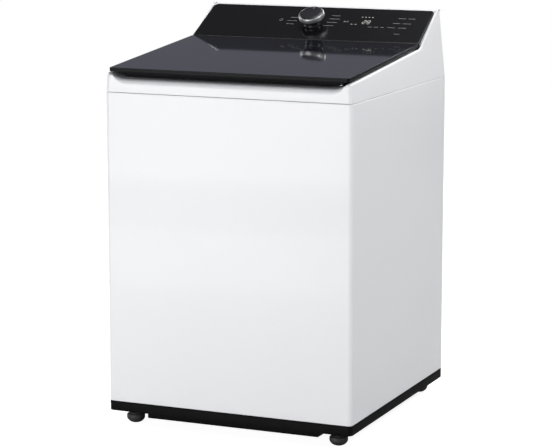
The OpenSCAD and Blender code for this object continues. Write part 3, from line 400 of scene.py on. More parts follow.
def rounded(points, radius, steps=5):
    """Rounds the corners of a closed outline of 2-D points. radius is a number or one per point."""
    out = []
    n = len(points)
    for i, p in enumerate(points):
        r = radius[i] if isinstance(radius, (list, tuple)) else radius
        p = Vector(p)
        a, b = Vector(points[i - 1]) - p, Vector(points[(i + 1) % n]) - p
        if r <= 0 or a.length < 1e-9 or b.length < 1e-9:
            out.append(p)
            continue
        half = a.angle(b) / 2
        if abs(math.pi / 2 - half) < 0.02:
            out.append(p)
            continue
        cut = min(r / math.tan(half), a.length * 0.49, b.length * 0.49)
        start, end = p + a.normalized() * cut, p + b.normalized() * cut
        for k in range(steps + 1):
            t = k / steps
            out.append(start * (1 - t) ** 2 + p * 2 * t * (1 - t) + end * t ** 2)
    return out


def extrude(points, place_low, place_high):
    """Prism between two placings of a closed 2-D outline."""
    n = len(points)
    low = [place_low(p) for p in points]
    high = [place_high(p) for p in points]
    verts, faces = rings([low, high])
    return verts, faces + [tuple(range(n - 1, -1, -1)), tuple(range(n, 2 * n))]


def block(lo, hi):
    x, y, z = zip(lo, hi)
    verts = [Vector((x[i], y[j], z[k])) for i in (0, 1) for j in (0, 1) for k in (0, 1)]
    return verts, [(0, 1, 3, 2), (4, 6, 7, 5), (0, 4, 5, 1), (2, 3, 7, 6), (0, 2, 6, 4), (1, 5, 7, 3)]


def rect_outline(half_x, half_y, r, steps=8):
    """Closed outline of a rounded rectangle about (0, 0), anticlockwise, with the same count for any size."""
    out = []
    for cx, cy, start in ((1, 1, 0), (-1, 1, 90), (-1, -1, 180), (1, -1, 270)):
        for k in range(steps + 1):
            a = math.radians(start + 90 * k / steps)
            out.append(Vector((cx * (half_x - r) + r * math.cos(a), cy * (half_y - r) + r * math.sin(a))))
    return out


def cap_hole(outer, inner):
    """Triangles between an outer and an inner loop of 3-D points."""
    loops = [outer, inner] if inner else [outer]
    tris = tessellate_polygon(loops)
    verts = [v for loop in loops for v in loop]
    return verts, [tuple(t) for t in tris]


def on_console(x, along, out=0.0):
    """A point on the console face: x across, metres up the face from its foot, metres proud of it."""
    return Vector((x, 0, 0)) + FOOT + FACE_UP * along + FACE_OUT * out


# ------------------------------------------------------------------ cabinet

def plan_rows(levels, steps=10):
    """Rows round the cabinet's plan. levels are (inset, z)."""
    rows = []
    for inset, z in levels:
        outline = rect_outline(HALF - inset, DEPTH / 2 - inset, max(CORNER - inset, 1 * MM), steps)
        rows.append([Vector((p.x, MID_Y + p.y, z)) for p in outline])
    return rows


def build_cabinet():
    levels = [(14, PANEL_Z + 1.2 * MM), (14, PANEL_Z), (2.0, PANEL_Z), (1.2, PANEL_Z + 0.2 * MM),
              (0.5, PANEL_Z + 0.7 * MM), (0.1, PANEL_Z + 1.6 * MM), (0, PANEL_Z + 3 * MM), (0, SEAM - 3 * MM),
              (0.1, SEAM - 1.6 * MM), (0.6, SEAM - 0.6 * MM), (1.6, SEAM - 0.1 * MM), (3, SEAM), (16, SEAM),
              (16, SEAM - 1.2 * MM), (1.3, SEAM - 1.2 * MM), (1.3, PANEL_Z + 1.2 * MM)]
    levels = [(a * MM, z) for a, z in levels]
    rows = plan_rows(levels + levels[:1])
    verts, faces = rings(rows)
    # the back is open between two side flanges; the rear panel closes it
    keep = []
    for face in faces:
        middle = sum((verts[i] for i in face), Vector()) / len(face)
        if middle.y > REAR - 20 * MM and abs(middle.x) < HALF - 100 * MM:
            continue
        keep.append(face)
    flange = []
    for side in (-1, 1):
        x0, x1 = side * (HALF - CORNER), side * (HALF - 28 * MM)
        flange.append(block((min(x0, x1), REAR - 1.2 * MM, PANEL_Z + 0.2 * MM), (max(x0, x1), REAR, SEAM - 0.2 * MM)))
    verts, faces = merged([(verts, keep)] + flange)
    finish_mesh("cabinet", verts, faces, WHITE, "body", ("cabinet_shell",), angle=40)


build_cabinet()


def build_skirt():
    low_left, low_right, ramp = -229 * MM, 251 * MM, 16 * MM
    side_z, deep_z, top_z = 38 * MM, 27 * MM, PANEL_Z - 0.3 * MM

    def bottom(x, front):
        if not front or x < low_left - 0.1 * MM or x > low_right + ramp:
            return side_z
        if x > low_right:
            return deep_z + (side_z - deep_z) * (x - low_right) / ramp
        return deep_z

    def loop(inset, z_of):
        pts = []
        outline = rect_outline(HALF - inset, DEPTH / 2 - inset, CORNER - inset, 8)
        for p, q in zip(outline, outline[1:] + outline[:1]):
            pts.append(p)
            if abs(p.y - q.y) < 1e-6 and p.y < 0:       # front run, from -X to +X
                for x in (low_left - 0.2 * MM, low_left, low_right, low_right + ramp):
                    pts.append(Vector((x, p.y)))
        return [Vector((p.x, MID_Y + p.y, z_of(p.x, p.y < -DEPTH / 2 + 14 * MM))) for p in pts]

    def top(x, front):
        return top_z

    rows = [loop(4 * MM, top), loop(0.9 * MM, top), loop(0.4 * MM, lambda x, f: top_z - 0.6 * MM),
            loop(0.4 * MM, lambda x, f: bottom(x, f) + 1.2 * MM), loop(0.8 * MM, lambda x, f: bottom(x, f) + 0.3 * MM),
            loop(1.6 * MM, bottom), loop(3.2 * MM, bottom), loop(4 * MM, lambda x, f: bottom(x, f) + 0.6 * MM)]
    verts, faces = rings(rows + rows[:1])
    parts = [(verts, faces)]
    # webs and corner decks behind the skirt
    foot_y = (FRONT + 50 * MM, REAR - 42 * MM)
    deck = PANEL_Z - 8 * MM
    for side in (-1, 1):
        for y0, y1 in ((FRONT + 3 * MM, FRONT + 86 * MM), (REAR - 86 * MM, REAR - 3 * MM)):
            x0, x1 = sorted((side * (HALF - 3 * MM), side * (HALF - 90 * MM)))
            parts.append(block((x0, y0, deck), (x1, y1, PANEL_Z - 0.5 * MM)))
        x0, x1 = sorted((side * (HALF - 3 * MM), side * (HALF - 34 * MM)))
        parts.append(block((x0, FRONT + 80 * MM, deck), (x1, REAR - 80 * MM, PANEL_Z - 0.5 * MM)))
        for y in foot_y:
            parts.append(lathe([(6 * MM, 38.2 * MM), (16 * MM, 38.2 * MM), (17 * MM, 39 * MM), (17 * MM, 57 * MM)],
                               Vector((side * 289 * MM, y, 0)), segments=48))
    for y in (FRONT + 18 * MM, REAR - 18 * MM):
        parts.append(block((-HALF + 80 * MM, y - 15 * MM, deck), (HALF - 80 * MM, y + 15 * MM, PANEL_Z - 0.5 * MM)))
    pump_lo, pump_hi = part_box("drain_pump")
    parts.append(block((pump_lo.x - 6 * MM, pump_lo.y - 6 * MM, deck), (HALF - 3 * MM, REAR - 3 * MM, PANEL_Z - 0.5 * MM)))
    verts, faces = merged(parts)
    finish_mesh("base_skirt", verts, faces, SKIRT, "body", ("base_frame",), angle=40, weld=False)


build_skirt()

# ------------------------------------------------------------------ top cover

RIM_IN = 332.6 * MM
FILLET = (285 * MM, 323 * MM)          # curve from the deck up to the cheek
MOUTH = (90 * MM, 478 * MM)
MOUTH_HALF = 235 * MM
MOUTH_R = 70 * MM


def side_x(z):
    return HALF - DRAFT * (z - SEAM)


def cheek_z(s):
    (s0, z0), (s1, z1), (s2, z2) = CHEEK
    if s <= s1:
        return z0 + (z1 - z0) * (s - s0) / (s1 - s0)
    return z1 + (z2 - z1) * (s - s1) / (s2 - s1)


def build_top_cover():
    # stations of the cheek's top line: (s at the top, z at the top, s at the bottom)
    stations = []
    for s in [14, 60, 120, 200, 300, 400, 470, 478, 488]:
        stations.append((s * MM, cheek_z(s * MM), s * MM))
    (s0, z0), (s1, z1), (s2, z2) = CHEEK
    kink = Vector((s1, z1))
    back = (Vector((s0, z0)) - kink).normalized()
    on = (Vector((s2, z2)) - kink).normalized()
    for k in range(7):
        t = k / 6
        p = (kink + back * 12 * MM) * (1 - t) ** 2 + kink * 2 * t * (1 - t) + (kink + on * 12 * MM) * t ** 2
        stations.append((p.x, p.y, p.x))
    for s in (530, 560, 590, 615, 634):
        stations.append((s * MM, cheek_z(s * MM), s * MM))
    crest = rounded([(s2, z2), (650 * MM, SEAM + 185.5 * MM), (663 * MM, SEAM + 184 * MM), BACK_CREST,
                     (DEPTH, SEAM)], [10 * MM, 12 * MM, 8 * MM, 0, 0], 4)
    for i, p in enumerate(crest[:-2]):
        share = (i + 1) / (len(crest) - 2)
        stations.append((p.x, p.y, 640 * MM + share * (rear_s(SEAM + 1.5 * MM) - 14 * MM - 640 * MM)))

    bottom_z = SEAM + 0.7 * MM
    rows = []

    def section(station, phi):
        """Half section from the deck's edge out and down. phi is 90 in the run and falls to 0 on the end faces."""
        s, top, s_low = station
        drop = 1 - math.sin(math.radians(phi))
        deep = 1 - math.cos(math.radians(phi))
        pts = []
        outer_top = side_x(top)
        console = s > 480 * MM
        if console:
            # behind the lid the cover stays low until the open lid's rear edge is cleared, then climbs
            dip = 20 * MM * min(max((536 * MM - s) / (30 * MM), 0), 1)
            climb = FOOT.z - 6 * MM - dip + (s - 506 * MM) * 0.5515
            level = min(top - 2 * MM, max(deck_z(s), climb))
            inner = [(300 * MM, level), (316 * MM, level), (324 * MM, level), (330 * MM, level), (RIM_IN - 0.3 * MM, level),
                     (RIM_IN, level + 0.5 * MM), (RIM_IN, top - 1.6 * MM)]
        else:
            level = deck_z(s)
            reach = FILLET[1] - FILLET[0]
            inner = []
            for k in range(6):
                t = k / 5
                inner.append((FILLET[0] + reach * t, level + (top - 2.5 * MM - level) * t ** 2.2))
            inner.append((FILLET[1] + 3 * MM, top - 1.0 * MM))
        for x, z in inner:
            pts.append((x, z))
        pts += [(RIM_IN + 0.5 * MM, top - 0.5 * MM), (RIM_IN + 1.7 * MM, top)]
        r = 4 * MM
        for k in range(6):
            a = math.radians(90 * k / 5)
            pts.append((outer_top - r + r * math.sin(a), top - r + r * math.cos(a)))
        for t in (0.2, 0.5, 0.85):
            z = top - r + (bottom_z - top + r) * t
            pts.append((side_x(z), z))
        pts.append((side_x(bottom_z), bottom_z + 1.0 * MM))
        pts.append((side_x(bottom_z) - 0.6 * MM, bottom_z))
        out = []
        n = len(pts)
        for i, (x, z) in enumerate(pts):
            t = min(max((top - z) / (top - bottom_z), 0), 1) if i > 8 else 0
            s_here = s * (1 - t) + s_low * t
            out.append([x, s_here, z, i])
        return out, drop, deep

    # end offsets: (across, down, depth) for each point of the section
    def shift(i, n):
        if i == 0:
            return (0, 14, 14)
        if i <= 5:
            t = i / 6
            return (-9 * t, 14 - 5 * t, 14 - 2 * t)
        if i <= 8:
            return (-10, 8.5, 12)
        if i <= 14:
            t = (i - 8) / 6
            return (-10 - 2 * t, 8.5 * (1 - t), 12)
        return (-12, 0, 12)

    n = None
    for phi in (0, 12, 25, 40, 55, 72):
        pts, drop, deep = section((0.0, cheek_z(0.0), 0.0), phi)
        n = len(pts)
        row = []
        for x, s, z, i in pts:
            dx, dz, ds = shift(i, n)
            row.append((x + dx * MM * drop, ds * MM * deep, z - dz * MM * drop + (SLOPE * ds * MM * deep if i < 9 else 0)))
        rows.append(row)
    for st in stations:
        pts, drop, deep = section(st, 90)
        rows.append([(x, s, z) for x, s, z, i in pts])
    last = stations[-1]
    for phi in (72, 55, 40, 25, 12, 0):
        drop = 1 - math.sin(math.radians(phi))
        deep = 1 - math.cos(math.radians(phi))
        row = []
        base = rows[len(stations) + 5]
        for i, (x, s, z) in enumerate(base):
            inward = 0 if i < 9 else min(1, (i - 8) / 6)
            goal_s = rear_s(z)
            row.append((x - 12 * MM * drop * inward - (3 * MM * drop if i < 9 and i > 0 else 0),
                        s + (goal_s - s) * (1 - deep), z))
        rows.append(row)
    count = len(rows[0])
    verts, faces = [], []
    for side in (1, -1):
        base = len(verts)
        for row in rows:
            verts.extend(Vector((side * x, FRONT + s, z)) for x, s, z in row)
        for j in range(len(rows) - 1):
            for i in range(count - 1):
                q = [base + j * count + i, base + j * count + i + 1, base + (j + 1) * count + i + 1, base + (j + 1) * count + i]
                faces.append(tuple(q if side > 0 else reversed(q)))
    # end caps and the strip across the middle
    half = len(rows) * count
    for end in (0, (len(rows) - 1) * count):
        loop = [end + i for i in range(count)] + [half + end + i for i in reversed(range(count))]
        flat = [Vector((verts[i].x, verts[i].z, 0)) for i in loop]
        faces.extend(tuple(loop[k] for k in tri) for tri in tessellate_polygon([flat]))
    run = [j for j in range(len(rows))]
    deck_rows = [j for j in run if rows[j][0][1] <= 489 * MM and j >= 6]
    for j in run[:-1]:
        if j in deck_rows[:-1]:
            continue
        a, b = j * count, (j + 1) * count
        faces.append((a, b, half + b, half + a))
    # deck with the loading mouth
    outer = [verts[j * count] for j in deck_rows] + [verts[half + j * count] for j in reversed(deck_rows)]
    mid_s = (MOUTH[0] + MOUTH[1]) / 2

    def mouth_row(grow, z=None, lift=0.0):
        row = []
        for p in rect_outline(MOUTH_HALF + grow, (MOUTH[1] - MOUTH[0]) / 2 + grow, MOUTH_R + grow, 14):
            s = mid_s + p.y
            row.append(Vector((p.x, FRONT + s, deck_z(s) + lift if z is None else z)))
        return row

    inner = mouth_row(5 * MM)
    v, f = cap_hole(outer, inner)
    collar_z = SEAM - 9 * MM
    collar = [inner, mouth_row(3 * MM, lift=-0.4 * MM), mouth_row(1.2 * MM, lift=-1.8 * MM), mouth_row(0.2 * MM, lift=-4 * MM),
              mouth_row(0, lift=-7 * MM), mouth_row(0, collar_z + 1 * MM), mouth_row(1.5 * MM, collar_z),
              mouth_row(3 * MM, collar_z + 1 * MM), mouth_row(3 * MM, lift=-6 * MM)]
    # the drawer comes through the collar's rear wall
    cv, cf = rings(collar)
    dlo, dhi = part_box("dispenser_drawer")
    kept = []
    for face in cf:
        c = sum((cv[i] for i in face), Vector()) / 4
        if c.y > FRONT + 470 * MM and dlo.x - 3 * MM < c.x < dhi.x + 3 * MM and dlo.z - 3 * MM < c.z < dhi.z + 3 * MM:
            continue
        kept.append(face)
    # the rest of that wall, round the drawer
    gap, straight = 1.5 * MM, MOUTH_HALF - MOUTH_R
    low, high = collar_z + 0.6 * MM, deck_z(MOUTH[1]) - 6 * MM
    wall = []
    for x0, x1, z0, z1 in ((-straight, dlo.x - gap, low, high), (dhi.x + gap, straight, low, high),
                           (dlo.x - gap, dhi.x + gap, low, dlo.z - gap), (dlo.x - gap, dhi.x + gap, dhi.z + gap, high)):
        if x1 > x0 and z1 > z0:
            wall.append(block((x0, FRONT + MOUTH[1], z0), (x1, FRONT + MOUTH[1] + 3 * MM, z1)))
    verts, faces = merged([(verts, faces), (v, f), (cv, kept)] + wall)
    finish_mesh("top_cover_skin", verts, faces, WHITE, "body", ("top_cover",), angle=32)


build_top_cover()


# ------------------------------------------------------------------ console

def build_fascia():
    half_low, half_high, r = LID_HALF, 326.5 * MM, 14 * MM
    corners = [(-half_low, -2 * MM), (half_low, -2 * MM), (half_high, FACE_LEN + 1 * MM), (-half_high, FACE_LEN + 1 * MM)]
    outline = rounded(corners, [3 * MM, 3 * MM, r, r], 8)
    centre = Vector((0, FACE_LEN / 2))

    def row(inset, out, dip=0.0):
        pts = []
        for p in outline:
            q = Vector(p)
            q.x -= math.copysign(min(inset, abs(q.x)), q.x)
            q.y += inset if q.y < FACE_LEN / 2 else -inset
            pts.append(on_console(q.x, q.y, out))
        return pts

    rows = [row(1 * MM, -6 * MM), row(0, -5 * MM), row(0, -1.6 * MM), row(0.35 * MM, -0.6 * MM), row(1.0 * MM, -0.1 * MM),
            row(2.2 * MM, 0), row(5 * MM, 0)]
    verts, faces = rings(rows)
    n = len(rows[0])
    last = (len(rows) - 1) * n
    faces.append(tuple(range(last, last + n)))
    faces.append(tuple(range(n - 1, -1, -1)))
    parts = [(verts, faces)]
    # apron that drops behind the lid's rear edge
    apron = rounded([(506.3, 986.0), (508, 979.5), (509.5, 974.0), (509.5, 956.0), (513, 956.0), (514, 984.0)], 0.8, 3)
    parts.append(extrude(apron, lambda p: Vector((-half_low + 1 * MM, FRONT + p.x * MM, p.y * MM)),
                         lambda p: Vector((half_low - 1 * MM, FRONT + p.x * MM, p.y * MM))))
    verts, faces = merged(parts)
    finish_mesh("console_face", verts, faces, GLOSS, "body", ("console_fascia",), angle=40)


build_fascia()


def flat_marks(name, shapes, mat, proud=0.12 * MM):
    """Thin printed shapes on the console: closed outlines of (x, along) points."""
    parts = []
    for outline in shapes:
        parts.append(extrude(outline, lambda p: on_console(p[0], p[1], -0.2 * MM),
                             lambda p: on_console(p[0], p[1], proud)))
    verts, faces = merged(parts)
    finish_mesh(name, verts, faces, mat, "body", weld=False)


def bar(x, y, w, h):
    return [Vector((x - w / 2, y - h / 2)), Vector((x + w / 2, y - h / 2)), Vector((x + w / 2, y + h / 2)),
            Vector((x - w / 2, y + h / 2))]


def arc_band(x, y, r, width, start, end, steps=20):
    outer, inner = [], []
    for k in range(steps + 1):
        a = math.radians(start + (end - start) * k / steps)
        outer.append(Vector((x + r * math.cos(a), y + r * math.sin(a))))
        inner.append(Vector((x + (r - width) * math.cos(a), y + (r - width) * math.sin(a))))
    return outer + inner[::-1]


def words(x, y, sizes, h=2.3 * MM, gap=1.0 * MM, align=0):
    """A printed label of short strokes in place of words: sizes are the word lengths."""
    total = sum(sizes) * MM + gap * (len(sizes) - 1)
    left = x - total * (0.5 if align == 0 else (1 if align > 0 else 0))
    out = []
    for size in sizes:
        letters = max(int(size / 1.9), 1)
        step = size * MM / letters
        for k in range(letters):
            out.append(bar(left + step * (k + 0.42), y, step * 0.62, h if (k * 7 + letters) % 3 else h * 0.72))
        left += size * MM + gap
    return out


SEGMENTS = {"0": "abcdef", "1": "bc", "2": "abged", "5": "afgcd", "9": "abcdfg", "4": "fgbc"}


def digit(x, y, w, h, value, t):
    place_of = {"a": (0, h / 2, w, t), "g": (0, 0, w, t), "d": (0, -h / 2, w, t), "f": (-w / 2, h / 4, t, h / 2),
                "b": (w / 2, h / 4, t, h / 2), "e": (-w / 2, -h / 4, t, h / 2), "c": (w / 2, -h / 4, t, h / 2)}
    out = []
    for seg in SEGMENTS[value]:
        dx, dy, sw, sh = place_of[seg]
        lean = 0.12 * (dy)
        out.append(bar(x + dx + lean, y + dy, max(sw - t * 0.5, t * 0.8), max(sh - t * 0.5, t * 0.8)))
    return out


def build_console_print():
    k = KNOB_UP
    marks = []
    # selector positions on both sides of the knob: line above the knob's axis, then left and right ends
    for above, left, right, sizes in ((39, -58, -45, (13,)), (24, -76, -51, (12, 11)), (8, -80, -51.5, (15, 12)),
                                      (-8, -77.5, -54, (13, 9)), (39, 42, 67, (14, 10)), (23, 40, 71, (17, 12)),
                                      (6, 37, 68.5, (12, 17)), (-10, 33, 64, (19, 10))):
        marks += words((left + right) / 2 * MM, k + above * MM, sizes)
    # power and start symbols
    x, y = -99 * MM, k + 11 * MM
    marks.append(arc_band(x, y, 5 * MM, 1.0 * MM, 120, 420))
    marks.append(bar(x, y + 4 * MM, 1.0 * MM, 5 * MM))
    x, y = 92 * MM, k + 13 * MM
    marks.append([Vector((x - 6 * MM, y - 3.5 * MM)), Vector((x, y)), Vector((x - 6 * MM, y + 3.5 * MM))])
    marks.append(bar(x + 3 * MM, y, 1.2 * MM, 7 * MM))
    marks.append(bar(x + 6 * MM, y, 1.2 * MM, 7 * MM))
    # labels to the right of the display
    for above, cells in ((36, ((248, 22), (275, 20))), (12, ((239, 21), (268, 24))),
                         (-9, ((168, 12), (186, 13), (204, 10), (230, 22), (261, 23))), (-38, ((255, 17),))):
        for x, size in cells:
            marks += words(x * MM, k + above * MM, (size,))
    # the printed marks carry the print's painted glow
    flat_marks("console_print_painted_glow", marks, PRINT_PAINTED_GLOW)
    lit = []
    for x, value in ((145, "2"), (157, "9")):
        lit += digit(x * MM, k + 13 * MM, 7.5 * MM, 15 * MM, value, 1.6 * MM)
    for x in (132, 142, 152, 162):
        lit.append(bar(x * MM, k + 37 * MM, 3.4 * MM, 2.2 * MM))
    for x in (112, 124):
        lit += words(x * MM, k + 1 * MM, (6,), h=2.0 * MM)
    flat_marks("display_digits", lit, DISPLAY)


build_console_print()


def build_knob():
    turn = Matrix((Vector((1, 0, 0)), FACE_UP, FACE_OUT)).transposed()
    centre = on_console(0, KNOB_UP)
    body = [(0, 33.9), (20, 33.75), (28.5, 33.45), (30.6, 33.0), (31.4, 32.2), (31.9, 31.2), (32.0, 30.4), (32.0, 20.6),
            (35.5, 20.4), (35.6, 19.2), (34.9, 18.0), (33.4, 17.4), (29.0, 17.2), (26.4, 15.6), (24.8, 12.0), (24.4, 6.0), (24.8, 2.2), (25.4, 1.0), (25.0, 0.6), (0, 0.6)]
    verts, faces = lathe([(r * MM, z * MM) for r, z in body], centre, turn, 128)
    finish_mesh("knob_core", verts, faces, KNOB, "knob", ("knob_body",), angle=40)
    ring = [(32.05, 31.3), (32.6, 32.0), (33.5, 31.9), (34.4, 30.6), (35.3, 27.4), (35.9, 23.0), (36.0, 21.4),
            (35.8, 20.6), (32.05, 20.6)]
    verts, faces = lathe([(r * MM, z * MM) for r, z in ring], centre, turn, 128, closed=True)
    finish_mesh("knob_trim", verts, faces, SILVER, "knob", ("knob_ring",), angle=40)
    pointer = [Vector((-0.8 * MM, 20 * MM)), Vector((0.8 * MM, 20 * MM)), Vector((0.8 * MM, 28 * MM)), Vector((-0.8 * MM, 28 * MM))]
    verts, faces = extrude(pointer, lambda p: centre + turn @ Vector((p.x, p.y, 33.2 * MM)),
                           lambda p: centre + turn @ Vector((p.x, p.y, 33.86 * MM)))
    # the knob's pointer line carries the print's painted glow too
    finish_mesh("knob_pointer", verts, faces, PRINT_PAINTED_GLOW, "knob")


build_knob()


# ------------------------------------------------------------------ lid

def lid_row(inset, drop, r=7 * MM, front=0.0, rear=0.0, side=None):
    """Row round the lid's plan at a depth below its top surface."""
    half_y = (LID_REAR - front - rear) / 2 - inset
    mid = front + inset + half_y
    across = (LID_HALF if side is None else side) - inset
    row = []
    for p in rect_outline(across, half_y, max(r - inset, 0.5 * MM), 6):
        s = mid + p.y
        row.append(Vector((p.x, FRONT + s, lid_z(s) - drop)))
    return row


def build_lid():
    rows = [lid_row(inset * MM, drop * MM)
            for inset, drop in ((6.0, 0), (2.1, 0), (1.85, 0.1), (1.8, 0.4), (1.8, 3.8), (2.0, 4.0), (6.0, 4.0))]
    verts, faces = rings(rows)
    n = len(rows[0])
    faces.append(tuple(range(n - 1, -1, -1)))
    last = (len(rows) - 1) * n
    faces.append(tuple(range(last, last + n)))
    finish_mesh("lid_pane", verts, faces, GLASS, "lid", ("lid_glass",), angle=40)
    # black rim round the glass, with a tray under it that stands well in at the sides and narrows downwards
    rim = [(1.7, 4.1), (1.7, 0.3), (1.4, 0.05), (0.5, 0.05), (0.15, 0.25), (0, 0.7), (0, 1.2), (0, 3.4)]
    levels = [(0, 4.2, 0.3, 25), (0, 5.6, 0.4, 25), (0, 8.8, 0.4, 25), (0.6, 9.8, 0.7, 25),
              (3.0, 10.2, 1.1, 25), (14.0, 10.5, 1.6, 25), (17.0, 12.2, 3.4, 25), (20.0, 15.2, 7.0, 25),
              (26.0, 19.2, 9.5, 25), (33.0, 22.8, 12.0, 26), (41.0, 25.0, 16.0, 27), (50.0, 25.9, 24.0, 30)]
    window = [(62, 25.9), (63, 25.2), (63, 6.0), (64, 4.2)]
    rows = [lid_row(inset * MM, drop * MM) for inset, drop in rim]
    for side, drop, front, rear in levels:
        corner = (7 if side < 1 else 16) * MM
        rows.append(lid_row(0, drop * MM, corner, front * MM, rear * MM, LID_HALF - side * MM))
    for side, drop in window:
        rows.append(lid_row(0, drop * MM, 26 * MM, 72 * MM, 48 * MM, LID_HALF - side * MM))
    parts = [rings(rows + rows[:1])]
    # rear rail in three lengths, with the hinge knuckles between them
    rail = rounded([(474, 4.2), (502.2, 4.2), (502.2, 17), (497, 22), (474, 25.6)], [0, 1.2, 4, 4, 0], 3)
    thin = rounded([(474, 4.2), (502.2, 4.2), (502.2, 9.8), (474, 9.8)], [0, 1.2, 1.2, 0], 3)
    for x0, x1, profile in ((-306, -283.5, rail), (-230.5, 256.5, rail), (283.5, 306, rail), (-331, -306, thin),
                            (306, 331, thin)):
        parts.append(extrude(profile, lambda p: Vector((x0 * MM, FRONT + p.x * MM, lid_z(p.x * MM) - p.y * MM)),
                             lambda p: Vector((x1 * MM, FRONT + p.x * MM, lid_z(p.x * MM) - p.y * MM))))
    verts, faces = merged(parts)
    finish_mesh("lid_tray", verts, faces, LID_PLASTIC, "lid", ("lid_frame",), angle=40, weld=False)


build_lid()

# ------------------------------------------------------------------ feet

def build_feet():
    profile = [(0, 0.2), (9, 0), (11.5, 0.2), (14, 1.2), (18, 3.8), (21, 7), (23.2, 10.5), (24, 13.5), (24, 19.5), (23.6, 21.2),
               (22.4, 22.6), (20, 23.4), (17.5, 24.2), (16.8, 25.6), (5, 26), (4.6, 26.4), (5, 27)]
    z, stem_top, pitch = 27.0, 84.0, 1.5
    while z < stem_top:
        profile += [(5, z + 0.4), (4.4, z + 0.9), (5, z + 1.4)]
        z += pitch
    profile += [(4.4, z + 0.6), (0, z + 0.8)]
    for node, sx, y in (("foot_front_left", -1, FRONT + 50 * MM), ("foot_front_right", 1, FRONT + 50 * MM),
                        ("foot_rear_left", -1, REAR - 42 * MM), ("foot_rear_right", 1, REAR - 42 * MM)):
        verts, faces = lathe([(r * MM, h * MM) for r, h in profile], Vector((sx * 289 * MM, y, 0)), segments=64)
        body = {"foot_front_left": "foot_fl", "foot_front_right": "foot_fr", "foot_rear_left": "foot_rl",
                "foot_rear_right": "foot_rr"}[node]
        finish_mesh(node.replace("foot_", "leveller_"), verts, faces, FOOT_RUBBER, body, (node,), angle=35)


build_feet()


# ------------------------------------------------------------------ rounded copies of the plainer parts

ROUNDED = {
    "rear_panel": ("back_sheet", 0.6), "rear_access_cover": ("access_plate", 0.5),
    "console_rear_cover": ("console_back", 0.6), "display_board": ("console_board", 0.25),
    "control_box": ("control_housing", 1.2), "knob_encoder": ("encoder", 0.5),
    "dispenser_housing": ("dispenser_case", 1.2), "dispenser_drawer": ("detergent_drawer", 1.0),
    "pressure_sensor": ("level_sensor", 1.2), "lid_lock_housing": ("lock_case", 1.0),
    "lid_lock_bolt": ("lock_bolt", 0.5), "hinge_brackets": ("hinge_knuckles", 0.8),
    "soft_close_damper": ("lid_damper", 0.8), "lid_striker": ("striker", 0.5), "lid_hinge_pins": ("hinge_pins", 0.5),
    "lid_bumpers": ("bumpers", 1.4), "foot_lock_nuts": ("lock_nuts", 0.7), "rod_sockets": ("rod_hangers", 0.5),
    "suspension_rods": ("rods", 0.5), "rod_end_caps": ("rod_cups", 1.0), "outer_tub": ("tub_shell", 1.0),
    "tub_ring": ("tub_collar", 0.8), "bearing_housing": ("bearing_carrier", 1.4), "shaft_bearings": ("bearings", 0.5),
    "tub_seal": ("shaft_seal", 0.4), "clutch_actuator": ("clutch_motor", 1.2), "clutch_fork": ("shift_fork", 0.5),
    "clutch_coupler": ("coupler_ring", 0.5), "spin_shaft": ("spin_tube", 0.5), "basket_hub": ("basket_spider", 1.4),
    "basket_base": ("basket_floor", 0.6), "balance_ring": ("balance_hoop", 2.2), "drive_shaft": ("agitator_shaft", 0.6),
    "rotor": ("rotor_pan", 0.6), "wash_plate": ("impeller_plate", 2.2), "drain_pump": ("pump_case", 1.2),
    "pump_impeller": ("pump_wheel", 0.4),
}
WIDE_ROUND = {"balance_ring": 4, "wash_plate": 4, "dispenser_drawer": 3, "outer_tub": 3}


def build_rounded_copies():
    for node, (name, width) in ROUNDED.items():
        rounded_copy(name, node, width * MM, WIDE_ROUND.get(node, 2))


build_rounded_copies()

# ------------------------------------------------------------------ fasteners and the back


def facing(out, up=Vector((0, 0, 1))):
    """Rotation whose Z axis is out and whose Y axis is as near up as it can be."""
    out = out.normalized()
    side = up.cross(out).normalized()
    return Matrix((side, out.cross(side), out)).transposed()


def screw_head(at, out, radius):
    """A hexagon head on its flange, standing on a face at a point with the normal out."""
    turn = facing(out)
    flange = [(0, -0.2), (1.0, -0.2), (1.03, 0.08), (0.98, 0.2), (0.74, 0.26), (0.5, 0.26)]
    head = [(0.72, 0.1), (0.72, 0.66), (0.64, 0.76), (0.4, 0.76), (0.34, 0.66), (0, 0.66)]
    return merged([lathe([(r * radius, z * radius) for r, z in flange], at, turn, 24),
                   lathe([(r * radius, z * radius) for r, z in head], at, turn, 6)])


def rear_face(x, z, out=0.0):
    """A point on the sloping back of the top cover."""
    return Vector((x, FRONT + rear_s(z) + out, z))


def louvre(x, z, width):
    """A pressed hood over one slot of the back sheet."""
    hood = [(-0.6, 5.2), (0.6, 5.0), (2.0, 4.2), (2.8, 2.9), (3.1, 0.8), (2.5, 0.7), (2.1, 2.5), (1.4, 3.6), (-0.6, 4.2)]
    rows = []
    for share, out in ((0.0, 0.05), (0.05, 0.55), (0.12, 0.88), (0.2, 1.0), (0.8, 1.0), (0.88, 0.88), (0.95, 0.55), (1.0, 0.05)):
        rows.append([Vector((x + (share - 0.5) * width, REAR - 1.4 * MM + y * out * MM, z + h * MM)) for y, h in hood])
    return rings(rows)


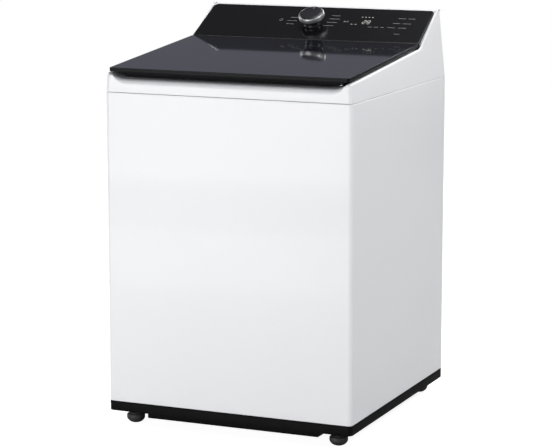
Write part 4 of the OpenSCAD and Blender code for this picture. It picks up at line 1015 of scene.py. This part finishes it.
def build_back_details():
    back = Vector((0, 1, 0))
    parts = []
    for side in (-1, 1):
        for z in (100, 340, 600, 850):
            parts.append(screw_head(Vector((side * (HALF - 20 * MM), REAR - 1.2 * MM, z * MM)), back, 4.6 * MM))
    access_z, reach = 0.250, 102 * MM
    for k in range(4):
        a = math.radians(45 + 90 * k)
        parts.append(screw_head(Vector((reach * math.cos(a), REAR, access_z + reach * math.sin(a))), back, 4.2 * MM))
    slope = (rear_face(0, SEAM) - rear_face(0, SEAM + 0.1)).normalized()
    tilted = Vector((1, 0, 0)).cross(slope)
    tilted = tilted if tilted.y > 0 else -tilted
    for x in (-298, 298):
        for z in (SEAM + 14 * MM, SEAM + 149 * MM):
            parts.append(screw_head(rear_face(x * MM, z, -0.5 * MM), tilted, 4.0 * MM))
    verts, faces = merged(parts)
    finish_mesh("back_screws", verts, faces, STEEL, "body", weld=False)
    hoods = []
    for x in (-240, -200, 200, 240):
        for k in range(6):
            hoods.append(louvre(x * MM, (700 + 14 * k) * MM, 29 * MM))
    verts, faces = merged(hoods)
    finish_mesh("back_louvres", verts, faces, GALVANISED, "body", weld=False)


build_back_details()


def rearward(x, z, y=None):
    """Centre and rotation for a fitting that points out of the back."""
    return Vector((x, REAR if y is None else y, z)), facing(Vector((0, 1, 0)))


def build_valves():
    lo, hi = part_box("water_valves")
    inlet_z, bore, thread = 0.934, 9 * MM, 13.35 * MM
    spout_end = hi.y
    centres = (70 * MM, 130 * MM)

    def slim(co):
        for x in centres:
            out = Vector((co.x - x, co.z - inlet_z))
            if co.y > spout_end - 22 * MM and thread - 0.3 * MM < out.length < thread + 0.3 * MM:
                out = out.normalized() * 12.3 * MM
                return Vector((x + out.x, co.y, inlet_z + out.y))
        return co

    rounded_copy("valve_bodies", "water_valves", 0.8 * MM, 2, 30, slim)
    threads, bands = [], []
    for x in centres:
        profile = [(bore, -0.2 * MM), (12.2 * MM, -0.2 * MM)]
        depth = -0.6 * MM
        while depth > -17 * MM:
            profile += [(12.3 * MM, depth), (13.3 * MM, depth - 0.75 * MM), (13.3 * MM, depth - 1.0 * MM),
                        (12.3 * MM, depth - 1.75 * MM)]
            depth -= 1.95 * MM
        profile += [(12.2 * MM, depth), (bore + 1 * MM, depth)]
        centre, turn = rearward(x, inlet_z, spout_end)
        threads.append(lathe(profile, centre, turn, 72, closed=True))
        bands.append(lathe([(14.4 * MM, -27 * MM), (15.2 * MM, -26.6 * MM), (15.2 * MM, -23.4 * MM), (14.4 * MM, -23 * MM)],
                           centre, turn, 64, closed=True))
    for name, parts, look in (("inlet_threads", threads, WHITE_PLASTIC), ("inlet_bands", bands, VALVE)):
        verts, faces = merged(parts)
        finish_mesh(name, verts, faces, look, "body", weld=False)


build_valves()


def build_drain_spigot():
    lo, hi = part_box("drain_outlet")
    length = hi.y - REAR
    profile = [(8.5, -28), (11, -28), (11, -10), (14.5, -10), (14.5, -1.15), (23.2, -1.15), (24, -0.6), (24, 1.6),
               (23.2, 2.7), (16.5, 2.9), (15.2, 3.6), (14, 5.2)]
    for k in range(3):
        start = 8.0 + 5.4 * k
        profile += [(13.1, start), (14.0, start + 0.5), (13.2, start + 4.6)]
    profile += [(12.9, 25.0), (12.0, length / MM), (9.4, length / MM), (8.5, 25.0)]
    centre, turn = rearward(262 * MM, 152 * MM)
    verts, faces = lathe([(r * MM, z * MM) for r, z in profile], centre, turn, 96, closed=True)
    finish_mesh("drain_spigot", verts, faces, DARK, "body", ("drain_outlet",), angle=30)


build_drain_spigot()


def build_gland():
    centre, turn = rearward(-282 * MM, 806 * MM)
    cap = [(5, -14), (10.2, -14), (10.8, -13.4), (10.8, -1.2), (15.2, -1.15), (16, -0.5), (16, 1.2), (15.4, 1.8), (12.6, 2.2),
           (12.4, 5.2), (11.2, 6.6), (8.4, 6.9), (6.4, 6.9), (5, 6.2)]
    parts = [lathe([(r * MM, z * MM) for r, z in cap], centre, turn, 72, closed=True)]
    nut = [(10.9, -8.5), (15.2, -8.5), (16, -7.9), (16, -3.1), (15.2, -2.5), (10.9, -2.5)]
    parts.append(lathe([(r * MM, z * MM) for r, z in nut], centre, turn, 6, closed=True))
    # grip ribs round the cap
    for k in range(18):
        a = 2 * math.pi * k / 18
        rib = block((11.6 * MM, -0.6 * MM, 2.0 * MM), (12.9 * MM, 0.6 * MM, 5.4 * MM))
        spin = Matrix.Rotation(a, 3, "Z")
        parts.append(([centre + turn @ (spin @ v) for v in rib[0]], rib[1]))
    verts, faces = merged(parts)
    finish_mesh("cord_gland", verts, faces, DARK, "body", ("power_gland",), angle=30, weld=False)


build_gland()

# ------------------------------------------------------------------ suspension, tub and basket


def sweep(points, radius, sides=10):
    """A round tube along a path, carried without twist and closed at its ends."""
    rows = []
    side = Vector((1, 0, 0))
    last = len(points) - 1
    for i, p in enumerate(points):
        ahead = (points[min(i + 1, last)] - points[max(i - 1, 0)]).normalized()
        side = (side - ahead * side.dot(ahead)).normalized()
        other = ahead.cross(side)
        rows.append([p + (side * math.cos(2 * math.pi * k / sides) + other * math.sin(2 * math.pi * k / sides)) * radius
                     for k in range(sides)])
    verts, faces = rings(rows)
    return verts, faces + [tuple(range(sides - 1, -1, -1)), tuple(last * sides + k for k in range(sides))]


def build_springs():
    wire, coil, low, high, turns, steps = 2.2 * MM, 13 * MM, 300.2 * MM, 389.8 * MM, 7, 22
    parts = []
    for sx in (-1, 1):
        for sy in (-1, 1):
            centre = Vector((sx * 0.288, MID_Y + sy * 0.288, 0))
            path = []
            for k in range(turns * steps + 1):
                t = k / steps
                rise = min(max((t - 0.7) / (turns - 1.4), 0), 1)
                a = 2 * math.pi * t
                z = low + wire + (high - low - 2 * wire) * rise
                path.append(centre + Vector((coil * math.cos(a), coil * math.sin(a), z)))
            parts.append(sweep(path, wire, 10))
    verts, faces = merged(parts)
    piece = finish_mesh("tub_springs", verts, faces, SPRING, None, ("suspension_springs",), weld=False)
    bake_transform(piece)


build_springs()


def build_bellows():
    lo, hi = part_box("sump_hose")
    centre = Vector(((lo.x + hi.x) / 2, (lo.y + hi.y) / 2, 0))
    neck_low, neck_high, folds, steps = 142 * MM, 184 * MM, 4, 10
    outside = [(15.3 * MM, lo.z), (17.4 * MM, lo.z)]
    inside = []
    for k in range(folds * steps + 1):
        t = k / steps
        wave = 19.3 * MM - 2.6 * MM * math.cos(2 * math.pi * t)
        z = neck_low + (neck_high - neck_low) * t / folds
        outside.append((wave, z))
        inside.append((wave - 1.4 * MM, z))
    outside += [(17.4 * MM, hi.z), (15.3 * MM, hi.z)]
    verts, faces = lathe(outside + inside[::-1], centre, None, 56, closed=True)
    piece = finish_mesh("sump_bellows", verts, faces, HOSE, None, ("sump_hose",))
    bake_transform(piece)
    for name, z, body in (("pump_hose_clamp", lo.z + 4 * MM, "body"), ("tub_hose_clamp", hi.z - 5 * MM, "tub")):
        band = [(17.45, -2.6), (18.2, -2.6), (18.2, 2.6), (17.45, 2.6)]
        strap = lathe([(r * MM, h * MM) for r, h in band], centre + Vector((0, 0, z)), None, 56, closed=True)
        ear = block((centre.x + 18 * MM, centre.y - 3 * MM, z - 2.6 * MM), (centre.x + 22 * MM, centre.y + 3 * MM, z + 2.6 * MM))
        verts, faces = merged([strap, ear])
        finish_mesh(name, verts, faces, STEEL, body, bevel=0.3 * MM, segments=2, weld=False)


build_bellows()


def build_basket_wall():
    """Perforated sheet rolled into a drum. Each cell of the sheet holds one round hole."""
    lo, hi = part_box("basket_wall")
    outer = (hi.x - lo.x) / 2
    inner = outer - 1.2 * MM
    columns, rows_n, hole = 54, 20, 3.0 * MM
    margin = 26 * MM
    z0, z1 = lo.z + margin, hi.z - margin
    cell_h = (z1 - z0) / rows_n
    cell_a = 2 * math.pi / columns
    sides = 8

    def at(radius, a, z):
        return Vector((radius * math.cos(a), MID_Y + radius * math.sin(a), z))

    verts, faces = [], []
    for row in range(rows_n):
        z_mid = z0 + (row + 0.5) * cell_h
        for column in range(columns):
            a_mid = (column + 0.5 * (row % 2)) * cell_a
            base = len(verts)
            for radius in (outer, inner):
                for dx, dz in ((1, 0), (1, 1), (0, 1), (-1, 1), (-1, 0), (-1, -1), (0, -1), (1, -1)):
                    verts.append(at(radius, a_mid + dx * cell_a / 2, z_mid + dz * cell_h / 2))
                for k in range(sides):
                    a = 2 * math.pi * k / sides
                    verts.append(at(radius, a_mid + hole * math.cos(a) / outer, z_mid + hole * math.sin(a)))
            for k in range(sides):
                m = (k + 1) % sides
                faces.append((base + k, base + m, base + 8 + m, base + 8 + k))
                faces.append((base + 16 + m, base + 16 + k, base + 24 + k, base + 24 + m))
                faces.append((base + 8 + k, base + 8 + m, base + 24 + m, base + 24 + k))
    # plain bands above and below the perforations, split at the same angles
    points = columns * 2
    for low, high, open_end in ((lo.z, z0, 1), (z1, hi.z, 3)):
        band = []
        for radius, z in ((outer, low), (outer, high), (inner, high), (inner, low)):
            band.append([at(radius, k * cell_a / 2, z) for k in range(points)])
        v, f = rings(band + band[:1])
        # the band's end is left out where it meets the perforated cells
        f = [face for j, face in enumerate(f) if j // points != open_end]
        base = len(verts)
        verts += v
        faces += [tuple(i + base for i in face) for face in f]
    finish_mesh("basket_drum", verts, faces, STAINLESS, "basket", ("basket_wall",), angle=40)


build_basket_wall()


def round_tub(part, angle):
    """A part turned about the drum's axis."""
    spin = Matrix.Rotation(angle, 3, "Z")
    return [TUB + spin @ v for v in part[0]], part[1]


def build_stator():
    teeth, low = 24, 112 * MM
    ring = [(92, 0), (112, 0), (112, 30), (104, 30), (104, 34), (45, 34), (45, 28), (92, 28)]
    core = [lathe([(r * MM, low + z * MM) for r, z in ring], TUB, None, 96, closed=True)]
    coils = []
    for i in range(teeth):
        angle = 2 * math.pi * i / teeth
        core.append(round_tub(block((110 * MM, -5 * MM, low + 5 * MM), (131 * MM, 5 * MM, low + 25 * MM)), angle))
        core.append(round_tub(block((130 * MM, -10 * MM, low + 3 * MM), (135 * MM, 10 * MM, low + 27 * MM)), angle))
        # layers of wire wound round the tooth
        layers = []
        for r, grow in ((114, 3.0), (115.4, 4.2), (117.4, 4.6), (119.6, 4.2), (121.8, 4.6), (124, 4.2), (126.2, 4.6), (128, 3.4)):
            outline = rect_outline((5 + grow) * MM, (10 + grow) * MM * 0.9, 4 * MM, 4)
            layers.append([Vector((r * MM, p.x, low + 15 * MM + p.y)) for p in outline])
        n = len(layers[0])
        v, f = rings(layers)
        f += [tuple(range(n)), tuple(range((len(layers) - 1) * n, len(layers) * n))]
        coils.append(round_tub((v, f), angle))
    verts, faces = merged(core)
    finish_mesh("stator_core", verts, faces, SINTERED, "tub", ("stator",), angle=40, bevel=0.5 * MM,
                segments=2, weld=False)
    verts, faces = merged(coils)
    finish_mesh("stator_coils", verts, faces, COPPER, "tub", angle=50, weld=False)


build_stator()


def build_plate_cap():
    lo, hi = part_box("wash_plate_cap")
    cap = [(0, 0), (29.0, 0), (29.5, 0.5), (29.5, 7.4), (28.8, 8.6), (27.4, 9.8), (26.2, 10.2), (25.6, 11.6), (23.0, 15.2),
           (20.4, 17.0), (14, 18.6), (7, 19.5), (0, 19.8)]
    verts, faces = lathe([(r * MM, lo.z + z * MM) for r, z in cap], TUB, None, 96)
    finish_mesh("plate_cap", verts, faces, PLATE_CAP, NODES["wash_plate_cap"]["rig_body"],
                ("wash_plate_cap",), angle=30)


build_plate_cap()

# ------------------------------------------------------------------ floor, light, camera

def build_floor():
    size = 8.0
    mesh = bpy.data.meshes.new("floor")
    mesh.from_pydata([(-size, -size, 0), (size, -size, 0), (size, size, 0), (-size, size, 0)], [], [(0, 1, 2, 3)])
    floor = bpy.data.objects.new("floor", mesh)
    bpy.context.scene.collection.objects.link(floor)
    m = Nodes("floor_paint")
    m.link(m.ramp(m.noise(1.5, 2), (0.52, 0.52, 0.52), (0.55, 0.55, 0.55)), m.shader.inputs["Base Color"])
    m.set(Roughness=0.8)
    m.shader.inputs["Specular IOR Level"].default_value = 0.1
    # the sweep glows evenly where it is seen, and bounces as a grey floor onto the machine
    glow = m.add("ShaderNodeEmission")
    glow.inputs["Strength"].default_value = FLOOR_GLOW
    both = m.add("ShaderNodeAddShader")
    m.link(m.shader.outputs["BSDF"], both.inputs[0])
    m.link(glow.outputs["Emission"], both.inputs[1])
    seen = m.add("ShaderNodeLightPath")
    pick = m.add("ShaderNodeMixShader")
    m.link(seen.outputs["Is Camera Ray"], pick.inputs["Fac"])
    m.link(m.shader.outputs["BSDF"], pick.inputs[1])
    m.link(both.outputs["Shader"], pick.inputs[2])
    m.link(pick.outputs["Shader"], m.tree.nodes["Material Output"].inputs["Surface"])
    mesh.materials.append(m.mat)


def build_world():
    world = bpy.data.worlds.new("studio")
    bpy.context.scene.world = world
    world.use_nodes = True
    tree = world.node_tree
    tree.nodes.clear()
    out = tree.nodes.new("ShaderNodeOutputWorld")
    seen = tree.nodes.new("ShaderNodeBackground")
    lit = tree.nodes.new("ShaderNodeBackground")
    seen.inputs["Color"].default_value = (1, 1, 1, 1)
    path = tree.nodes.new("ShaderNodeLightPath")
    mix = tree.nodes.new("ShaderNodeMixShader")
    # a studio sweep that is bright near the floor and dims towards the top
    coord = tree.nodes.new("ShaderNodeTexCoord")
    split = tree.nodes.new("ShaderNodeSeparateXYZ")
    ramp = tree.nodes.new("ShaderNodeValToRGB")
    tree.links.new(coord.outputs["Generated"], split.inputs["Vector"])
    tree.links.new(split.outputs["Z"], ramp.inputs["Fac"])
    stops = ramp.color_ramp.elements
    stops[0].color = SKY[0][1] + (1,)
    stops[1].color = SKY[-1][1] + (1,)
    for height, colour in SKY[1:-1]:
        stops.new(height).color = colour + (1,)
    tree.links.new(ramp.outputs["Color"], lit.inputs["Color"])
    tree.links.new(path.outputs["Is Camera Ray"], mix.inputs["Fac"])
    tree.links.new(lit.outputs["Background"], mix.inputs[1])
    tree.links.new(seen.outputs["Background"], mix.inputs[2])
    tree.links.new(mix.outputs["Shader"], out.inputs["Surface"])


def soft_light(name, where, target, size_x, size_y, power):
    data = bpy.data.lights.new(name, "AREA")
    data.shape = "RECTANGLE"
    data.size, data.size_y = size_x, size_y
    data.energy = power
    obj = bpy.data.objects.new(name, data)
    bpy.context.scene.collection.objects.link(obj)
    obj.location = where
    obj.rotation_euler = (Vector(target) - Vector(where)).to_track_quat("-Z", "Y").to_euler()


FLOOR_GLOW = 0.92
SKY = [(0.0, (0.40, 0.40, 0.41)), (0.16, (0.19, 0.194, 0.232)), (0.42, (0.205, 0.208, 0.252)),
       (0.60, (0.10, 0.10, 0.115)), (0.92, (0.09, 0.09, 0.10)), (1.0, (0.3, 0.3, 0.3))]
build_floor()
build_world()
soft_light("front_soft", (-1.9, -5.2, 0.8), (0, -0.3, 0.35), 3.6, 2.2, 150)
soft_light("low_soft", (-0.5, -1.9, 0.14), (-0.1, -0.3, 0.05), 2.2, 0.24, 5)
soft_light("right_soft", (2.5, -0.4, 2.9), (0.3, 0, 0.9), 1.2, 1.4, 60)
soft_light("top_soft", (0.2, 0.5, 4.2), (0, 0, 0.8), 2.0, 2.0, 60)
soft_light("left_soft", (-4.0, 0.8, 2.2), (-0.3, 0, 0.6), 2.0, 2.4, 60)
soft_light("back_soft", (0.9, 4.4, 2.6), (0, 0.3, 0.5), 3.0, 2.0, 70)


def camera():
    data = bpy.data.cameras.new("camera")
    data.lens = CAM["lens"]
    data.sensor_width = 36
    data.clip_start, data.clip_end = 0.05, 60
    obj = bpy.data.objects.new("camera", data)
    bpy.context.scene.collection.objects.link(obj)
    obj.location = CAM["at"]
    turn, down = CAM["turn"], CAM["down"]
    look = Vector((-math.sin(turn) * math.cos(down), math.cos(turn) * math.cos(down), -math.sin(down)))
    obj.rotation_mode = "QUATERNION"
    obj.rotation_quaternion = look.to_track_quat("-Z", "Y")
    bpy.context.scene.camera = obj


CAM = {"at": (2.3527, -5.5037, 1.5609), "turn": 0.4069, "down": 0.1753, "lens": 147.5}
camera()
bpy.context.scene.view_settings.view_transform = "Standard"
